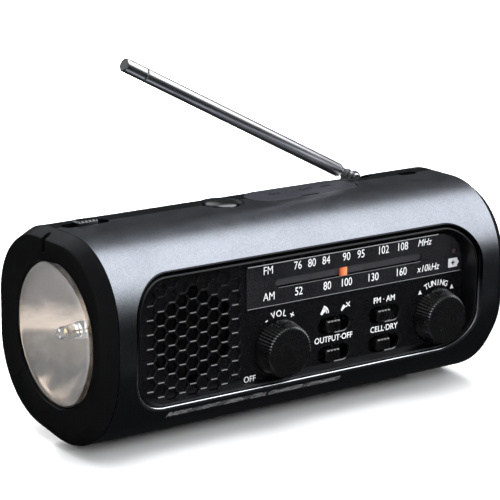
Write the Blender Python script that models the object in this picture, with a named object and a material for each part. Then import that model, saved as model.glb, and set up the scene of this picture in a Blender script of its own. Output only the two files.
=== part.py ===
"""Emergency radio: a hand-crank camping radio with a torch at its left end.

Lengths below are in millimetres, and MM turns them into Blender's metres.
+X is the radio's right seen from the front, the front faces -Y, and +Z is up.
The origin is on the base's flat underside, midway along the body.
"""

import math

import bmesh
import bpy
from mathutils import Matrix, Vector

MM = 0.001
GAP = 0.3  # clearance between neighbouring pieces

# ---- driving dimensions -------------------------------------------------
LENGTH = 190.0
DEPTH = 76.8
HEIGHT = 81.2  # of the shell, which stands LIFT above the ground
LIFT = 0.8
R_TOP = 30.25
R_BOTTOM = 38.0
WALL = 2.2
CAP = 5.3  # length of each end cap
PARTING_Y = 4.8  # plane where the front and rear shells meet

HALF = LENGTH / 2
SEAM_X = HALF - CAP
TOP_Z = LIFT + HEIGHT
INNER_TOP = TOP_Z - WALL

TORCH_Y, TORCH_Z = -1.5, 43.7
TORCH_R = 27.8

RECESS_X = (-80.8, 79.6)
RECESS_Z = (18.8, 68.8)
RECESS_R = 15.0
PANEL_Y = -28.8  # face of the black panel
PANEL_T = 2.0

GRILLE_PITCH = 5.45
GRILLE_RINGS = 3
SPEAKER_X, SPEAKER_Z = -51.4, 43.0
SPEAKER_R = 20.0

DIAL_X = (-27.6, 77.4)
DIAL_Z = (48.4, 65.3)
SLOT_X = (-14.4, 57.0)
SLOT_Z = 57.0
SLOT_H = 3.4
POINTER_X = 17.8
POINTER_W = 3.7
CHARGE_LED = (73.4, 57.2)

VOLUME = (-12.4, 31.6)
TUNING = (65.0, 31.8)
KNOB_BASE_R, KNOB_FACE_R, KNOB_H = 11.3, 9.9, 7.4
SHAFT_R = 3.0
DRUM_R = 7.17  # winds the pointer's cord

SWITCHES = {
    "siren_switch": (14.0, 36.4),
    "output_switch": (14.0, 24.8),
    "band_switch": (38.9, 36.6),
    "battery_switch": (38.9, 24.9),
}
SWITCH_SLOT = (15.2, 6.3)
SWITCH_KEY = (7.0, 4.6)
SWITCH_OFFSET = -1.7

BUTTON = (-16.1, 4.4)
BUTTON_R, BUTTON_HOLE_R = 6.6, 7.6
LIGHT_SLOT_X, LIGHT_SLOT_L, LIGHT_SLOT_W = -77.0, 20.0, 6.0
FLAP_X, FLAP_Y = (-3.5, 48.0), (-4.1, 13.1)
FLAP_T = 1.2
STRAP_X, STRAP_L, STRAP_W = 76.5, 9.0, 4.4

AERIAL_X, AERIAL_Y, AERIAL_Z = 56.8, 17.0, 81.1
AERIAL_ANGLE = 27.33
AERIAL_TIP = 122.3  # from the pivot to the end of the tip
TIP_L = 9.7
TUBE_R = 2.8
SHELF_Z = 77.8
SHELF_Y = 14.0
POCKET_R = 9.0

CRANK_X, CRANK_Z = 28.0, 45.0
FACET_R, FACET_Y = 58.0, 31.5
ARM_REACH, ARM_HALF, ARM_Y = 46.0, 8.0, (32.2, 39.0)
GRIP_Y, GRIP_R, GRIP_L = 36.3, 4.3, 21.0

GEAR_MODULE = 0.8
CRANK_TEETH, PINION_TEETH, IDLER_TEETH = 40, 10, 30
IDLER_X = CRANK_X + GEAR_MODULE * (CRANK_TEETH + PINION_TEETH) / 2
ROTOR_X = IDLER_X + GEAR_MODULE * (IDLER_TEETH + PINION_TEETH) / 2

DOOR_X, DOOR_Z = (-81.0, -33.0), (16.0, 62.0)
CELL_R, CELL_L = 5.25, 44.5
CELL_X, CELL_Y = -57.0, 26.5
CELL_Z = (27.0, 38.5, 50.0)

PAD_X, PAD_Y = 70.0, (-3.0, 26.0)


# ---- outlines, as lists of points ---------------------------------------
def arc(centre, radius, start, end, steps):
    """Points on an arc from start to end, in degrees."""
    angles = [math.radians(start + (end - start) * i / steps) for i in range(steps + 1)]
    return [(centre[0] + radius * math.cos(a), centre[1] + radius * math.sin(a)) for a in angles]


def circle(radius, steps, centre=(0.0, 0.0)):
    return arc(centre, radius, 0, 360, steps)[:-1]


def rounded_box(low, high, radius, steps=6):
    """A rectangle with round corners, from its lowest and highest corner."""
    (x0, z0), (x1, z1) = low, high
    corners = (
        ((x1 - radius, z0 + radius), -90),
        ((x1 - radius, z1 - radius), 0),
        ((x0 + radius, z1 - radius), 90),
        ((x0 + radius, z0 + radius), 180),
    )
    return [p for centre, start in corners for p in arc(centre, radius, start, start + 90, steps)]


def stadium(centre, length, width, steps=8):
    """A slot outline, longer along its first axis."""
    reach, r = (length - width) / 2, width / 2
    right = arc((centre[0] + reach, centre[1]), r, -90, 90, steps)
    left = arc((centre[0] - reach, centre[1]), r, 90, 270, steps)
    return right + left


def body_section(inset=0.0, steps=9):
    """The body's cross-section, as (y, z) points from the top's rear edge, forwards and round."""
    half = DEPTH / 2 - inset
    top, bottom = TOP_Z - inset, LIFT + inset
    rt, rb = R_TOP - inset, R_BOTTOM - inset
    return (
        arc((-(half - rt), top - rt), rt, 90, 180, steps)
        + arc((-(half - rb), bottom + rb), rb, 180, 270, steps)
        + arc((half - rb, bottom + rb), rb, 270, 360, steps)
        + arc((half - rt, top - rt), rt, 0, 90, steps)
    )


def face_section(steps=9):
    """The end caps' flat faces: the same form, smaller and a little to the rear."""
    half, centre, bottom, top, rt, rb = 35.7, 1.5, 6.2, 78.6, 27.0, 30.9
    front, rear = centre - half, centre + half
    return (
        arc((front + rt, top - rt), rt, 90, 180, steps)
        + arc((front + rb, bottom + rb), rb, 180, 270, steps)
        + arc((rear - rb, bottom + rb), rb, 270, 360, steps)
        + arc((rear - rt, top - rt), rt, 0, 90, steps)
    )


def top_z(y, inset=0.0):
    """Height of the body's upper surface at y."""
    half, rt = DEPTH / 2 - inset, R_TOP - inset
    over = max(abs(y) - (half - rt), 0.0)
    return TOP_Z - inset - rt + math.sqrt(rt * rt - over * over)


def bottom_z(y, inset=0.0):
    half, rb = DEPTH / 2 - inset, R_BOTTOM - inset
    over = max(abs(y) - (half - rb), 0.0)
    return LIFT + inset + rb - math.sqrt(rb * rb - over * over)


def rear_y(z, inset=0.0):
    """How far back the body's rear surface stands at height z."""
    half = DEPTH / 2 - inset
    rt, rb = R_TOP - inset, R_BOTTOM - inset
    high = max(z - (TOP_Z - inset - rt), 0.0)
    low = max(LIFT + inset + rb - z, 0.0)
    if high:
        return half - rt + math.sqrt(rt * rt - high * high)
    return half - rb + math.sqrt(rb * rb - low * low)


def side_section(rear, inset=0.0):
    """The open front or rear half of the section, from the parting plane at the top round to the bottom."""
    y = PARTING_Y + (GAP / 2 if rear else -GAP / 2)
    keep = (lambda p: p[0] > y) if rear else (lambda p: p[0] < y)
    points = [p for p in body_section(inset) if keep(p)]
    if rear:
        points.reverse()
    return [(y, top_z(y, inset)), *points, (y, bottom_z(y, inset))]


def gear_outline(teeth, phase):
    """Straight-sided teeth, slim enough to run with backlash at every angle."""
    pitch_r = GEAR_MODULE * teeth / 2
    root, tip = pitch_r - 1.1 * GEAR_MODULE, pitch_r + 0.8 * GEAR_MODULE
    shares = ((root, -0.27), (tip, -0.10), (tip, 0.10), (root, 0.27))
    points = []
    for i in range(teeth):
        for radius, share in shares:
            a = 2 * math.pi * (i + share + phase) / teeth
            points.append((radius * math.cos(a), radius * math.sin(a)))
    return points


def grille_cells():
    """Centres of the hexagonal patch of open holes."""
    found = []
    for column in range(-GRILLE_RINGS, GRILLE_RINGS + 1):
        count = 2 * GRILLE_RINGS + 1 - abs(column)
        for row in range(count):
            z = (row - (count - 1) / 2) * GRILLE_PITCH
            found.append((SPEAKER_X + column * GRILLE_PITCH * math.sqrt(3) / 2, SPEAKER_Z + z))
    return found


# ---- solids -------------------------------------------------------------
TURNS = {  # an outline's (u, v) and its depth, as world axes
    "X": Matrix(((0, 0, 1), (1, 0, 0), (0, 1, 0))),  # outline (y, z), depth +X
    "Y": Matrix(((1, 0, 0), (0, 0, -1), (0, 1, 0))),  # outline (x, z), depth -Y
    "Z": Matrix(((1, 0, 0), (0, 1, 0), (0, 0, 1))),  # outline (x, y), depth +Z
}


def prism(outline, axis, low, high, holes=()):
    """An outline, with any holes in it, extruded along a world axis from low to high."""
    curve = bpy.data.curves.new("outline", "CURVE")
    curve.dimensions = "2D"
    curve.fill_mode = "BOTH"
    curve.extrude = (high - low) / 2
    for points in (outline, *holes):
        spline = curve.splines.new("POLY")
        spline.points.add(len(points) - 1)
        for at, (u, v) in zip(spline.points, points):
            at.co = (u, v, 0, 1)
        spline.use_cyclic_u = True
    helper = bpy.data.objects.new("outline", curve)
    bpy.context.scene.collection.objects.link(helper)
    mesh = bpy.data.meshes.new_from_object(helper)
    bpy.data.objects.remove(helper)
    bpy.data.curves.remove(curve)
    bm = bmesh.new()
    bm.from_mesh(mesh)
    bpy.data.meshes.remove(mesh)
    bmesh.ops.remove_doubles(bm, verts=bm.verts, dist=1e-4)
    middle = (low + high) / 2
    depth = -middle if axis == "Y" else middle
    bmesh.ops.translate(bm, verts=bm.verts, vec=(0, 0, depth))
    bmesh.ops.transform(bm, verts=bm.verts, matrix=TURNS[axis].to_4x4())
    return bm


def turned(profile, steps, axis="Z", at=(0, 0, 0), ring=False):
    """A profile of (radius, height) points turned about an axis. A ring's profile closes on itself."""
    bm = bmesh.new()
    rows = []
    for radius, height in profile:
        if radius < 1e-6:
            rows.append([bm.verts.new((0, 0, height))] * steps)
            continue
        row = []
        for i in range(steps):
            a = 2 * math.pi * i / steps
            row.append(bm.verts.new((radius * math.cos(a), radius * math.sin(a), height)))
        rows.append(row)
    pairs = list(zip(rows, rows[1:])) + ([(rows[-1], rows[0])] if ring else [])
    for one, two in pairs:
        for i in range(steps):
            j = (i + 1) % steps
            corners = list(dict.fromkeys((one[i], one[j], two[j], two[i])))
            if len(corners) > 2:
                bm.faces.new(corners)
    turn = {
        "X": Matrix.Rotation(math.pi / 2, 4, "Y"),
        "Y": Matrix.Rotation(-math.pi / 2, 4, "X"),
        "Z": Matrix.Identity(4),
    }[axis]
    bmesh.ops.transform(bm, verts=bm.verts, matrix=Matrix.Translation(Vector(at)) @ turn)
    return bm


def rod(radius, axis, low, high, centre, steps=16):
    """A plain cylinder along a world axis; centre is its place on the other two axes, in X, Y, Z order."""
    at = list(centre)
    at.insert("XYZ".index(axis), 0)
    return turned([(0, low), (radius, low), (radius, high), (0, high)], steps, axis, at)


def block(low, high):
    bm = bmesh.new()
    bmesh.ops.create_cube(bm, size=1)
    size = Vector(high) - Vector(low)
    bmesh.ops.scale(bm, verts=bm.verts, vec=size)
    bmesh.ops.translate(bm, verts=bm.verts, vec=(Vector(low) + Vector(high)) / 2)
    return bm


def lofted(first, x_first, second, x_second):
    """A straight loft between two outlines with as many points each, across X."""
    bm = bmesh.new()
    ends = ((first, x_first), (second, x_second))
    rows = [[bm.verts.new((x, y, z)) for y, z in points] for points, x in ends]
    count = len(first)
    for i in range(count):
        j = (i + 1) % count
        bm.faces.new((rows[0][i], rows[0][j], rows[1][j], rows[1][i]))
    bm.faces.new(rows[0])
    bm.faces.new(rows[1])
    return bm


# ---- objects ------------------------------------------------------------
MATERIALS = {  # colour, roughness, metallic
    "gunmetal": ((0.20, 0.21, 0.24), 0.38, 0.75),
    "black_shell": ((0.012, 0.012, 0.014), 0.5, 0.0),
    "panel_black": ((0.008, 0.008, 0.009), 0.35, 0.0),
    "knob_black": ((0.010, 0.010, 0.011), 0.45, 0.0),
    "chrome": ((0.80, 0.80, 0.82), 0.12, 1.0),
    "clear": ((0.85, 0.88, 0.90), 0.05, 0.0),
    "smoked": ((0.03, 0.03, 0.035), 0.08, 0.0),
    "reflector": ((0.62, 0.58, 0.54), 0.25, 1.0),
    "orange": ((0.95, 0.22, 0.04), 0.4, 0.0),
    "rubber": ((0.10, 0.11, 0.13), 0.7, 0.0),
    "board": ((0.02, 0.12, 0.06), 0.5, 0.0),
    "white_plastic": ((0.75, 0.75, 0.72), 0.5, 0.0),
    "steel": ((0.55, 0.56, 0.58), 0.3, 1.0),
    "paper": ((0.02, 0.02, 0.02), 0.9, 0.0),
    "ferrite": ((0.06, 0.055, 0.05), 0.6, 0.0),
    "cell_wrap": ((0.10, 0.22, 0.34), 0.35, 0.0),
}


def material(name):
    found = bpy.data.materials.get(name)
    if found:
        return found
    colour, roughness, metallic = MATERIALS[name]
    made = bpy.data.materials.new(name)
    made.use_nodes = True
    shader = made.node_tree.nodes["Principled BSDF"]
    shader.inputs["Base Color"].default_value = (*colour, 1)
    shader.inputs["Roughness"].default_value = roughness
    shader.inputs["Metallic"].default_value = metallic
    return made


def part(name, bm, finish, origin=(0, 0, 0), parent=None):
    """Makes an object of a mesh in millimetres. A moving piece has its origin on its joint's axis."""
    bmesh.ops.recalc_face_normals(bm, faces=bm.faces)
    bmesh.ops.translate(bm, verts=bm.verts, vec=-Vector(origin))
    bmesh.ops.scale(bm, verts=bm.verts, vec=(MM, MM, MM))
    mesh = bpy.data.meshes.new(name)
    bm.to_mesh(mesh)
    bm.free()
    mesh.shade_smooth()
    mesh.set_sharp_from_angle(angle=math.radians(35))
    made = bpy.data.objects.new(name, mesh)
    made.location = Vector(origin) * MM
    bpy.context.scene.collection.objects.link(made)
    made.data.materials.append(material(finish))
    if parent:
        made.parent = parent
        made.location -= parent.location
    return made


def helper(name, *solids):
    """A hidden object for a Boolean, of one or more solids that don't overlap."""
    whole = bmesh.new()
    for bm in solids:
        bmesh.ops.recalc_face_normals(bm, faces=bm.faces)
        mesh = bpy.data.meshes.new("piece")
        bm.to_mesh(mesh)
        bm.free()
        whole.from_mesh(mesh)
        bpy.data.meshes.remove(mesh)
    bmesh.ops.scale(whole, verts=whole.verts, vec=(MM, MM, MM))
    mesh = bpy.data.meshes.new(name)
    whole.to_mesh(mesh)
    whole.free()
    made = bpy.data.objects.new(name, mesh)
    bpy.context.scene.collection.objects.link(made)
    made.hide_render = True
    made.display_type = "WIRE"
    return made


def boolean(target, operation, *solids):
    tool = helper(f"{target.name}_{operation.lower()}_{len(target.modifiers)}", *solids)
    tool.location = -target.location
    tool.parent = target
    modifier = target.modifiers.new(tool.name, "BOOLEAN")
    modifier.operation = operation
    modifier.solver = "EXACT"
    modifier.object = tool
    return target


def cut(target, *solids):
    return boolean(target, "DIFFERENCE", *solids)


def join(target, *solids):
    return boolean(target, "UNION", *solids)


def top_cutters():
    """The openings that the button, light switch, port cover and strap bar take from both shells."""
    flap_middle = (sum(FLAP_X) / 2, sum(FLAP_Y) / 2)
    flap_size = (FLAP_X[1] - FLAP_X[0], FLAP_Y[1] - FLAP_Y[0])
    seat_z = TOP_Z - FLAP_T - 0.4
    light = stadium((LIGHT_SLOT_X, PARTING_Y), LIGHT_SLOT_L, LIGHT_SLOT_W)
    strap = stadium((STRAP_X, PARTING_Y), STRAP_L, STRAP_W)
    first = (
        rod(BUTTON_HOLE_R, "Z", 70, 90, BUTTON, 32),
        prism(light, "Z", 70, 90),
        prism(strap, "Z", 70, 90),
        prism(stadium(flap_middle, flap_size[0] + 2 * GAP, flap_size[1] + 2 * GAP, 12), "Z", seat_z, 90),
    )
    second = (prism(stadium(flap_middle, flap_size[0] - 3, flap_size[1] - 3, 12), "Z", 70, 90),)
    return first, second


def front_shell():
    outline = side_section(False) + side_section(False, WALL)[::-1]
    shell = part("front_shell", prism(outline, "X", -SEAM_X + 0.15, SEAM_X - 0.15), "gunmetal")
    recess = rounded_box((RECESS_X[0], RECESS_Z[0]), (RECESS_X[1], RECESS_Z[1]), RECESS_R)
    first, second = top_cutters()
    cut(shell, prism(recess, "Y", -50, -15), *first)
    cut(shell, *second)


def rear_shell():
    outline = side_section(True)
    shell = part("rear_shell", prism(outline, "X", -SEAM_X + 0.15, SEAM_X - 0.15), "black_shell")
    inner = [(p[0], p[1]) for p in side_section(True, WALL)]
    inner = [(inner[0][0] - 5, inner[0][1]), *inner, (inner[-1][0] - 5, inner[-1][1])]
    cavity = part("cavity", prism(inner, "X", -HALF, HALF), "black_shell")
    cut(cavity, rod(FACET_R + WALL, "Y", FACET_Y - WALL, 60, (CRANK_X, CRANK_Z), 40))
    shelf_roof = SHELF_Z - WALL
    pocket_roof = SHELF_Z - 1.0 - WALL
    cut(cavity, block((-HALF, SHELF_Y - 1.0, shelf_roof), (AERIAL_X, 60, 99)))
    cut(cavity, rod(POCKET_R + WALL, "Z", pocket_roof, 99, (AERIAL_X, AERIAL_Y), 32))
    cavity.hide_render = True
    cavity.display_type = "WIRE"
    modifier = shell.modifiers.new("cavity", "BOOLEAN")
    modifier.object = cavity
    modifier.solver = "EXACT"
    cut(shell, rod(FACET_R, "Y", FACET_Y, 60, (CRANK_X, CRANK_Z), 40))
    cut(shell, block((-HALF - 5, SHELF_Y, SHELF_Z), (AERIAL_X, 60, 99)))
    cut(shell, rod(POCKET_R, "Z", SHELF_Z - 1.0, 99, (AERIAL_X, AERIAL_Y), 32))
    screw_posts = [rod(4.0, "Y", 12, rear_y(z - 4) - 0.6, (x, z), 12) for x, z in screw_places()]
    join(shell, *screw_posts)
    first, second = top_cutters()
    door = block((DOOR_X[0] - GAP, 20, DOOR_Z[0] - GAP), (DOOR_X[1] + GAP, 60, DOOR_Z[1] + GAP))
    cut(shell, *first, door, *[screw_hole(x, z) for x, z in screw_places()])
    shafts = (
        rod(4.4, "Y", 25, 45, (CRANK_X, CRANK_Z), 20),
        rod(3.4, "Z", 70, 85, (AERIAL_X, AERIAL_Y), 16),
    )
    cut(shell, *second, *shafts)


def screw_places():
    return [(x, 14.0) for x in (-84.5, 84.5)]


def screw_hole(x, z):
    seat = rear_y(z - 4) - 3.5
    profile = [(0, 5), (1.9, 5), (1.9, seat), (3.4, seat), (3.4, 60), (0, 60)]
    return turned(profile, 16, "Y", (x, 0, z))


def case_screws():
    for number, (x, z) in enumerate(screw_places(), 1):
        head = rear_y(z - 4) - 3.2
        profile = [
            (0, 6), (1.5, 6), (1.5, head), (3.0, head), (3.0, head + 1.2), (2.2, head + 2.0),
            (0, head + 2.0),
        ]
        part(f"case_screw_{number}", turned(profile, 12, "Y", (x, 0, z)), "steel")


def end_caps():
    for name, side in (("left_end_cap", -1), ("right_end_cap", 1)):
        bm = lofted(body_section(), side * (SEAM_X + 0.15), face_section(), side * HALF)
        cap = part(name, bm, "black_shell")
        if side < 0:
            cut(cap, rod(TORCH_R, "X", -HALF - 5, -SEAM_X + 5, (TORCH_Y, TORCH_Z), 48))


def front_panel():
    inset = GAP + 0.9
    low, high = (RECESS_X[0], RECESS_Z[0]), (RECESS_X[1], RECESS_Z[1])
    outer = rounded_box((low[0] + GAP, low[1] + GAP), (high[0] - GAP, high[1] - GAP), RECESS_R - GAP)
    inner = rounded_box(
        (low[0] + inset, low[1] + inset), (high[0] - inset, high[1] - inset), RECESS_R - inset
    )
    holes = [circle(GRILLE_PITCH * 0.52, 6, cell) for cell in grille_cells()]
    holes += [stadium((x, z), *SWITCH_SLOT) for x, z in SWITCHES.values()]
    holes += [circle(SHAFT_R + 0.4, 16, knob) for knob in (VOLUME, TUNING)]
    holes.append(dial_outline(GAP))
    panel = part("front_panel", prism(outer, "Y", -45, PANEL_Y + PANEL_T), "panel_black")
    cut(panel, prism(inner, "Y", -60, PANEL_Y))
    cut(panel, *[prism(hole, "Y", -35, -20) for hole in holes])
    boolean(panel, "INTERSECT", prism(body_section(GAP), "X", -SEAM_X, SEAM_X))


def dial_outline(grow=0.0):
    """The dial window: square corners, but for the one that meets the recess's upper right corner."""
    x0, x1 = DIAL_X[0] - grow, DIAL_X[1] + grow
    z0, z1 = DIAL_Z[0] - grow, DIAL_Z[1] + grow
    radius = 12.0
    return [(x0, z0), (x1, z0), *arc((x1 - radius, z1 - radius), radius, 0, 90, 6), (x0, z1)]


def dial():
    part("dial_window", prism(dial_outline(), "Y", PANEL_Y - 0.2, PANEL_Y + PANEL_T), "smoked")
    slot = stadium(((SLOT_X[0] + SLOT_X[1]) / 2, SLOT_Z), SLOT_X[1] - SLOT_X[0], SLOT_H)
    front = PANEL_Y + PANEL_T + GAP
    outline = rounded_box((DIAL_X[0] - 2, DIAL_Z[0] - 1), (DIAL_X[1] - 1, DIAL_Z[1] + 1), 1.0, 2)
    scale = part(
        "dial_scale", prism(outline, "Y", front, front + 1.2, [slot, circle(1.5, 12, CHARGE_LED)]),
        "paper",
    )
    rail_z = SLOT_Z - 6.0
    ears = [block((x, front + 1.0, rail_z - 1.5), (x + 2, front + 5.0, rail_z + 1.5)) for x in (-22.0, 64.0)]
    join(scale, *ears)
    join(scale, rod(0.8, "X", -21, 65, (front + 3.8, rail_z), 8))
    half = POINTER_W / 2
    needle = block(
        (POINTER_X - half, front + 0.2, SLOT_Z - 1.4), (POINTER_X + half, front + 2.2, SLOT_Z + 1.4)
    )
    pointer = part("dial_pointer", needle, "orange")
    carriage = prism(
        rounded_box((POINTER_X - 4, rail_z - 2.2), (POINTER_X + 4, SLOT_Z + 1.2), 0.5, 2),
        "Y", front + 1.7, front + 5.2
    )
    join(pointer, carriage)
    cut(pointer, rod(1.15, "X", POINTER_X - 9, POINTER_X + 9, (front + 3.8, rail_z), 12))
    led = [
        (0, front - 0.1), (0.8, front), (1.1, front + 0.6), (1.1, front + 3), (1.5, front + 3),
        (1.5, front + 4), (0, front + 4),
    ]
    part("charge_led", turned(led, 12, "Y", (CHARGE_LED[0], 0, CHARGE_LED[1])), "clear")


def knobs():
    back, face = PANEL_Y - GAP, PANEL_Y - GAP - KNOB_H
    shaft_end = -17.5
    profile = [
        (0, face), (KNOB_FACE_R - 0.8, face), (KNOB_FACE_R, face + 0.8), (KNOB_BASE_R - 0.4, back - 1.0),
        (KNOB_BASE_R, back - 0.6), (KNOB_BASE_R, back), (SHAFT_R, back), (SHAFT_R, shaft_end),
        (0, shaft_end),
    ]
    for name, (x, z) in (("volume_knob", VOLUME), ("tuning_knob", TUNING)):
        part(name, turned(profile, 28, "Y", (x, 0, z)), "knob_black", (x, 0, z))
    bore = SHAFT_R + 0.3
    pot = [(bore, -21.5), (8.0, -21.5), (8.5, -21), (8.5, -15), (0, -15), (0, -16.5), (bore, -16.5)]
    part("volume_pot", turned(pot, 20, "Y", (VOLUME[0], 0, VOLUME[1]), ring=True), "steel")
    x, z = TUNING
    drum = [
        (bore, -26.0), (DRUM_R + 1, -26.0), (DRUM_R, -25.2), (DRUM_R, -23.6), (DRUM_R + 1, -22.8),
        (bore, -22.8),
    ]
    part("tuning_drum", turned(drum, 24, "Y", (x, 0, z), ring=True), "white_plastic", (x, 0, z))
    gang = part("tuning_capacitor", block((x - 10, -21.5, z - 10), (x + 10, -10, z + 10)), "white_plastic")
    cut(gang, rod(bore, "Y", -30, -16.5, TUNING, 16))


def slide_switches():
    back = PANEL_Y + PANEL_T
    key, depth = SWITCH_KEY[0] / 2, SWITCH_KEY[1] / 2
    for name, (x, z) in SWITCHES.items():
        mid = x + SWITCH_OFFSET
        outline = [
            (mid - key, PANEL_Y - 2.4), (mid + key, PANEL_Y - 2.4), (mid + key, back + 0.4),
            (mid + 6, back + 0.4),
            (mid + 6, back + 1.6), (mid + 1.5, back + 1.6), (mid + 1.5, back + 3.0), (mid - 1.5, back + 3.0),
            (mid - 1.5, back + 1.6), (mid - 6, back + 1.6), (mid - 6, back + 0.4), (mid - key, back + 0.4),
        ]
        part(name, prism(outline, "Z", z - depth, z + depth), "knob_black", (mid, back, z))
    board = part("control_board", block((1, -18.4, 19), (50, -16.8, 43)), "board")
    bodies = [block((x - 7, back + 3.4, z - 4), (x + 7, -18.2, z + 4)) for x, z in SWITCHES.values()]
    join(board, *bodies)


def light_switch():
    x, y = LIGHT_SLOT_X, PARTING_Y
    wall_in = INNER_TOP
    outline = [
        (x - 4.5, wall_in - 0.4), (x - 8.5, wall_in - 0.4), (x - 8.5, wall_in - 1.6),
        (x + 8.5, wall_in - 1.6),
        (x + 8.5, wall_in - 0.4), (x + 4.5, wall_in - 0.4), (x + 4.5, TOP_Z + 1.0), (x + 3.6, TOP_Z + 1.7),
        (x - 3.6, TOP_Z + 1.7), (x - 4.5, TOP_Z + 1.0),
    ]
    part("light_switch", prism(outline, "Y", y - 2.6, y + 2.6), "knob_black", (x, y, wall_in))


def top_button():
    x, y = BUTTON
    low = INNER_TOP - 3.2
    profile = [
        (0, TOP_Z + 0.9), (3.0, TOP_Z + 0.75), (5.2, TOP_Z + 0.25), (BUTTON_R, TOP_Z - 0.8),
        (BUTTON_R, low + 2.2),
        (8.3, low + 2.2), (8.3, low + 1.0), (2.0, low + 1.0), (2.0, low), (0, low),
    ]
    part("top_button", turned(profile, 24, "Z", (x, y, 0)), "knob_black", (x, y, low))
    part("button_switch", block((x - 3, y - 3, low - 5.0), (x + 3, y + 3, low - 1.9)), "steel")


def port_cover():
    middle = (sum(FLAP_X) / 2, sum(FLAP_Y) / 2)
    size = (FLAP_X[1] - FLAP_X[0], FLAP_Y[1] - FLAP_Y[0])
    top = TOP_Z - 0.05
    flap = part(
        "port_cover", prism(stadium(middle, *size, 12), "Z", top - FLAP_T, top), "rubber",
        (middle[0], FLAP_Y[1], top),
    )
    cut(flap, prism(stadium((19.5, FLAP_Y[0]), 9.0, 2.4, 6), "Z", top - 0.7, top + 3))


def ports():
    y, top = sum(FLAP_Y) / 2, INNER_TOP - 0.5
    usb = part("usb_port", block((3.3, y - 3.6, top - 12), (17.7, y + 3.6, top)), "steel")
    cut(usb, block((4.1, y - 2.8, top - 10.5), (16.9, y + 2.8, top + 3)))
    jacks = (("dc_jack", 25.6, 4.5, 2.75), ("earphone_jack", 35.6, 3.6, 1.8))
    for name, x, outer, bore in jacks:
        profile = [
            (bore, top), (outer, top), (outer, top - 11), (0, top - 11), (0, top - 9), (bore, top - 9),
        ]
        part(name, turned(profile, 20, "Z", (x, y, 0), ring=True), "panel_black")


def torch():
    at = (0, TORCH_Y, TORCH_Z)
    lens = [(0, -94.4), (27.3, -94.4), (27.3, -93.2), (0, -93.2)]
    part("torch_lens", turned(lens, 48, "X", at), "clear")
    rim, vertex, hole = 26.2, -76.5, 3.6
    front = -92.9
    focal = rim * rim / (4 * (vertex - front))
    steps = 6
    radii = [rim + (hole - rim) * i / steps for i in range(steps + 1)]
    inside = [(r, vertex - r * r / (4 * focal)) for r in radii]
    outside = [(r, x + 1.3) for r, x in reversed(inside)]
    profile = [(27.4, front), *inside, *outside, (27.4, front + 1.2)]
    part("torch_reflector", turned(profile, 32, "X", at, ring=True), "reflector")
    led = [
        (0, -92.6), (1.3, -92.2), (2.2, -91.2), (2.5, -90.0), (2.5, -85.2), (2.9, -85.2), (2.9, -84.2),
        (0, -84.2),
    ]
    part("torch_led", turned(led, 20, "X", at), "clear")
    holder = [(0, -83.9), (3.2, -83.9), (3.2, -75.6), (6.5, -75.0), (6.5, -73.0), (0, -73.0)]
    part("led_holder", turned(holder, 20, "X", at), "steel")


def speaker():
    at = (SPEAKER_X, 0, SPEAKER_Z)
    front = PANEL_Y + PANEL_T + GAP
    frame = [
        (SPEAKER_R, front), (SPEAKER_R, front + 1.2), (11.0, front + 8.0), (11.0, front + 13.0),
        (0, front + 13.0),
        (0, front + 9.0), (9.5, front + 9.0), (9.5, front + 7.4), (18.2, front + 1.0), (18.2, front),
    ]
    part("speaker_frame", turned(frame, 24, "Y", at, ring=True), "steel")
    cone = [
        (0, front + 3.0), (4.0, front + 4.2), (5.0, front + 5.4), (16.8, front + 0.6),
        (17.2, front + 1.0), (5.0, front + 6.2), (0, front + 6.2),
    ]
    part("speaker_cone", turned(cone, 24, "Y", at), "paper")


def electronics():
    board = part("main_board", block((-28, -5.6, 12), (86, -4.0, 62)), "board")
    join(
        board,
        block((-10, -4.2, 30), (4, -2.2, 44)),
        block((12, -4.2, 22), (22, -1.2, 32)),
        rod(4.0, "Y", -4.4, 6.0, (-20, 24), 12),
        rod(3.0, "Y", -4.4, 4.0, (-20, 36), 12),
    )
    part("ferrite_rod", rod(4.0, "X", -24, 52, (-17.5, 71.0), 16), "ferrite")
    part("rechargeable_cell", rod(7.2, "X", -25, 25, (13.0, 15.5), 20), "cell_wrap")
    for number, z in enumerate(CELL_Z, 1):
        low = CELL_X - CELL_L / 2
        profile = [
            (0, low), (CELL_R, low), (CELL_R, low + CELL_L - 1.2), (1.9, low + CELL_L - 1.2),
            (1.9, low + CELL_L), (0, low + CELL_L),
        ]
        part(f"dry_cell_{number}", turned(profile, 16, "X", (0, CELL_Y, z)), "cell_wrap")


def battery_door():
    steps = 10
    heights = [DOOR_Z[0] + (DOOR_Z[1] - DOOR_Z[0]) * i / steps for i in range(steps + 1)]
    outline = [(rear_y(z), z) for z in heights] + [(rear_y(z, WALL), z) for z in reversed(heights)]
    door = part("battery_door", prism(outline, "X", *DOOR_X), "black_shell")
    cut(door, block((-65, 37.6, 34), (-49, 50, 38)))


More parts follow.
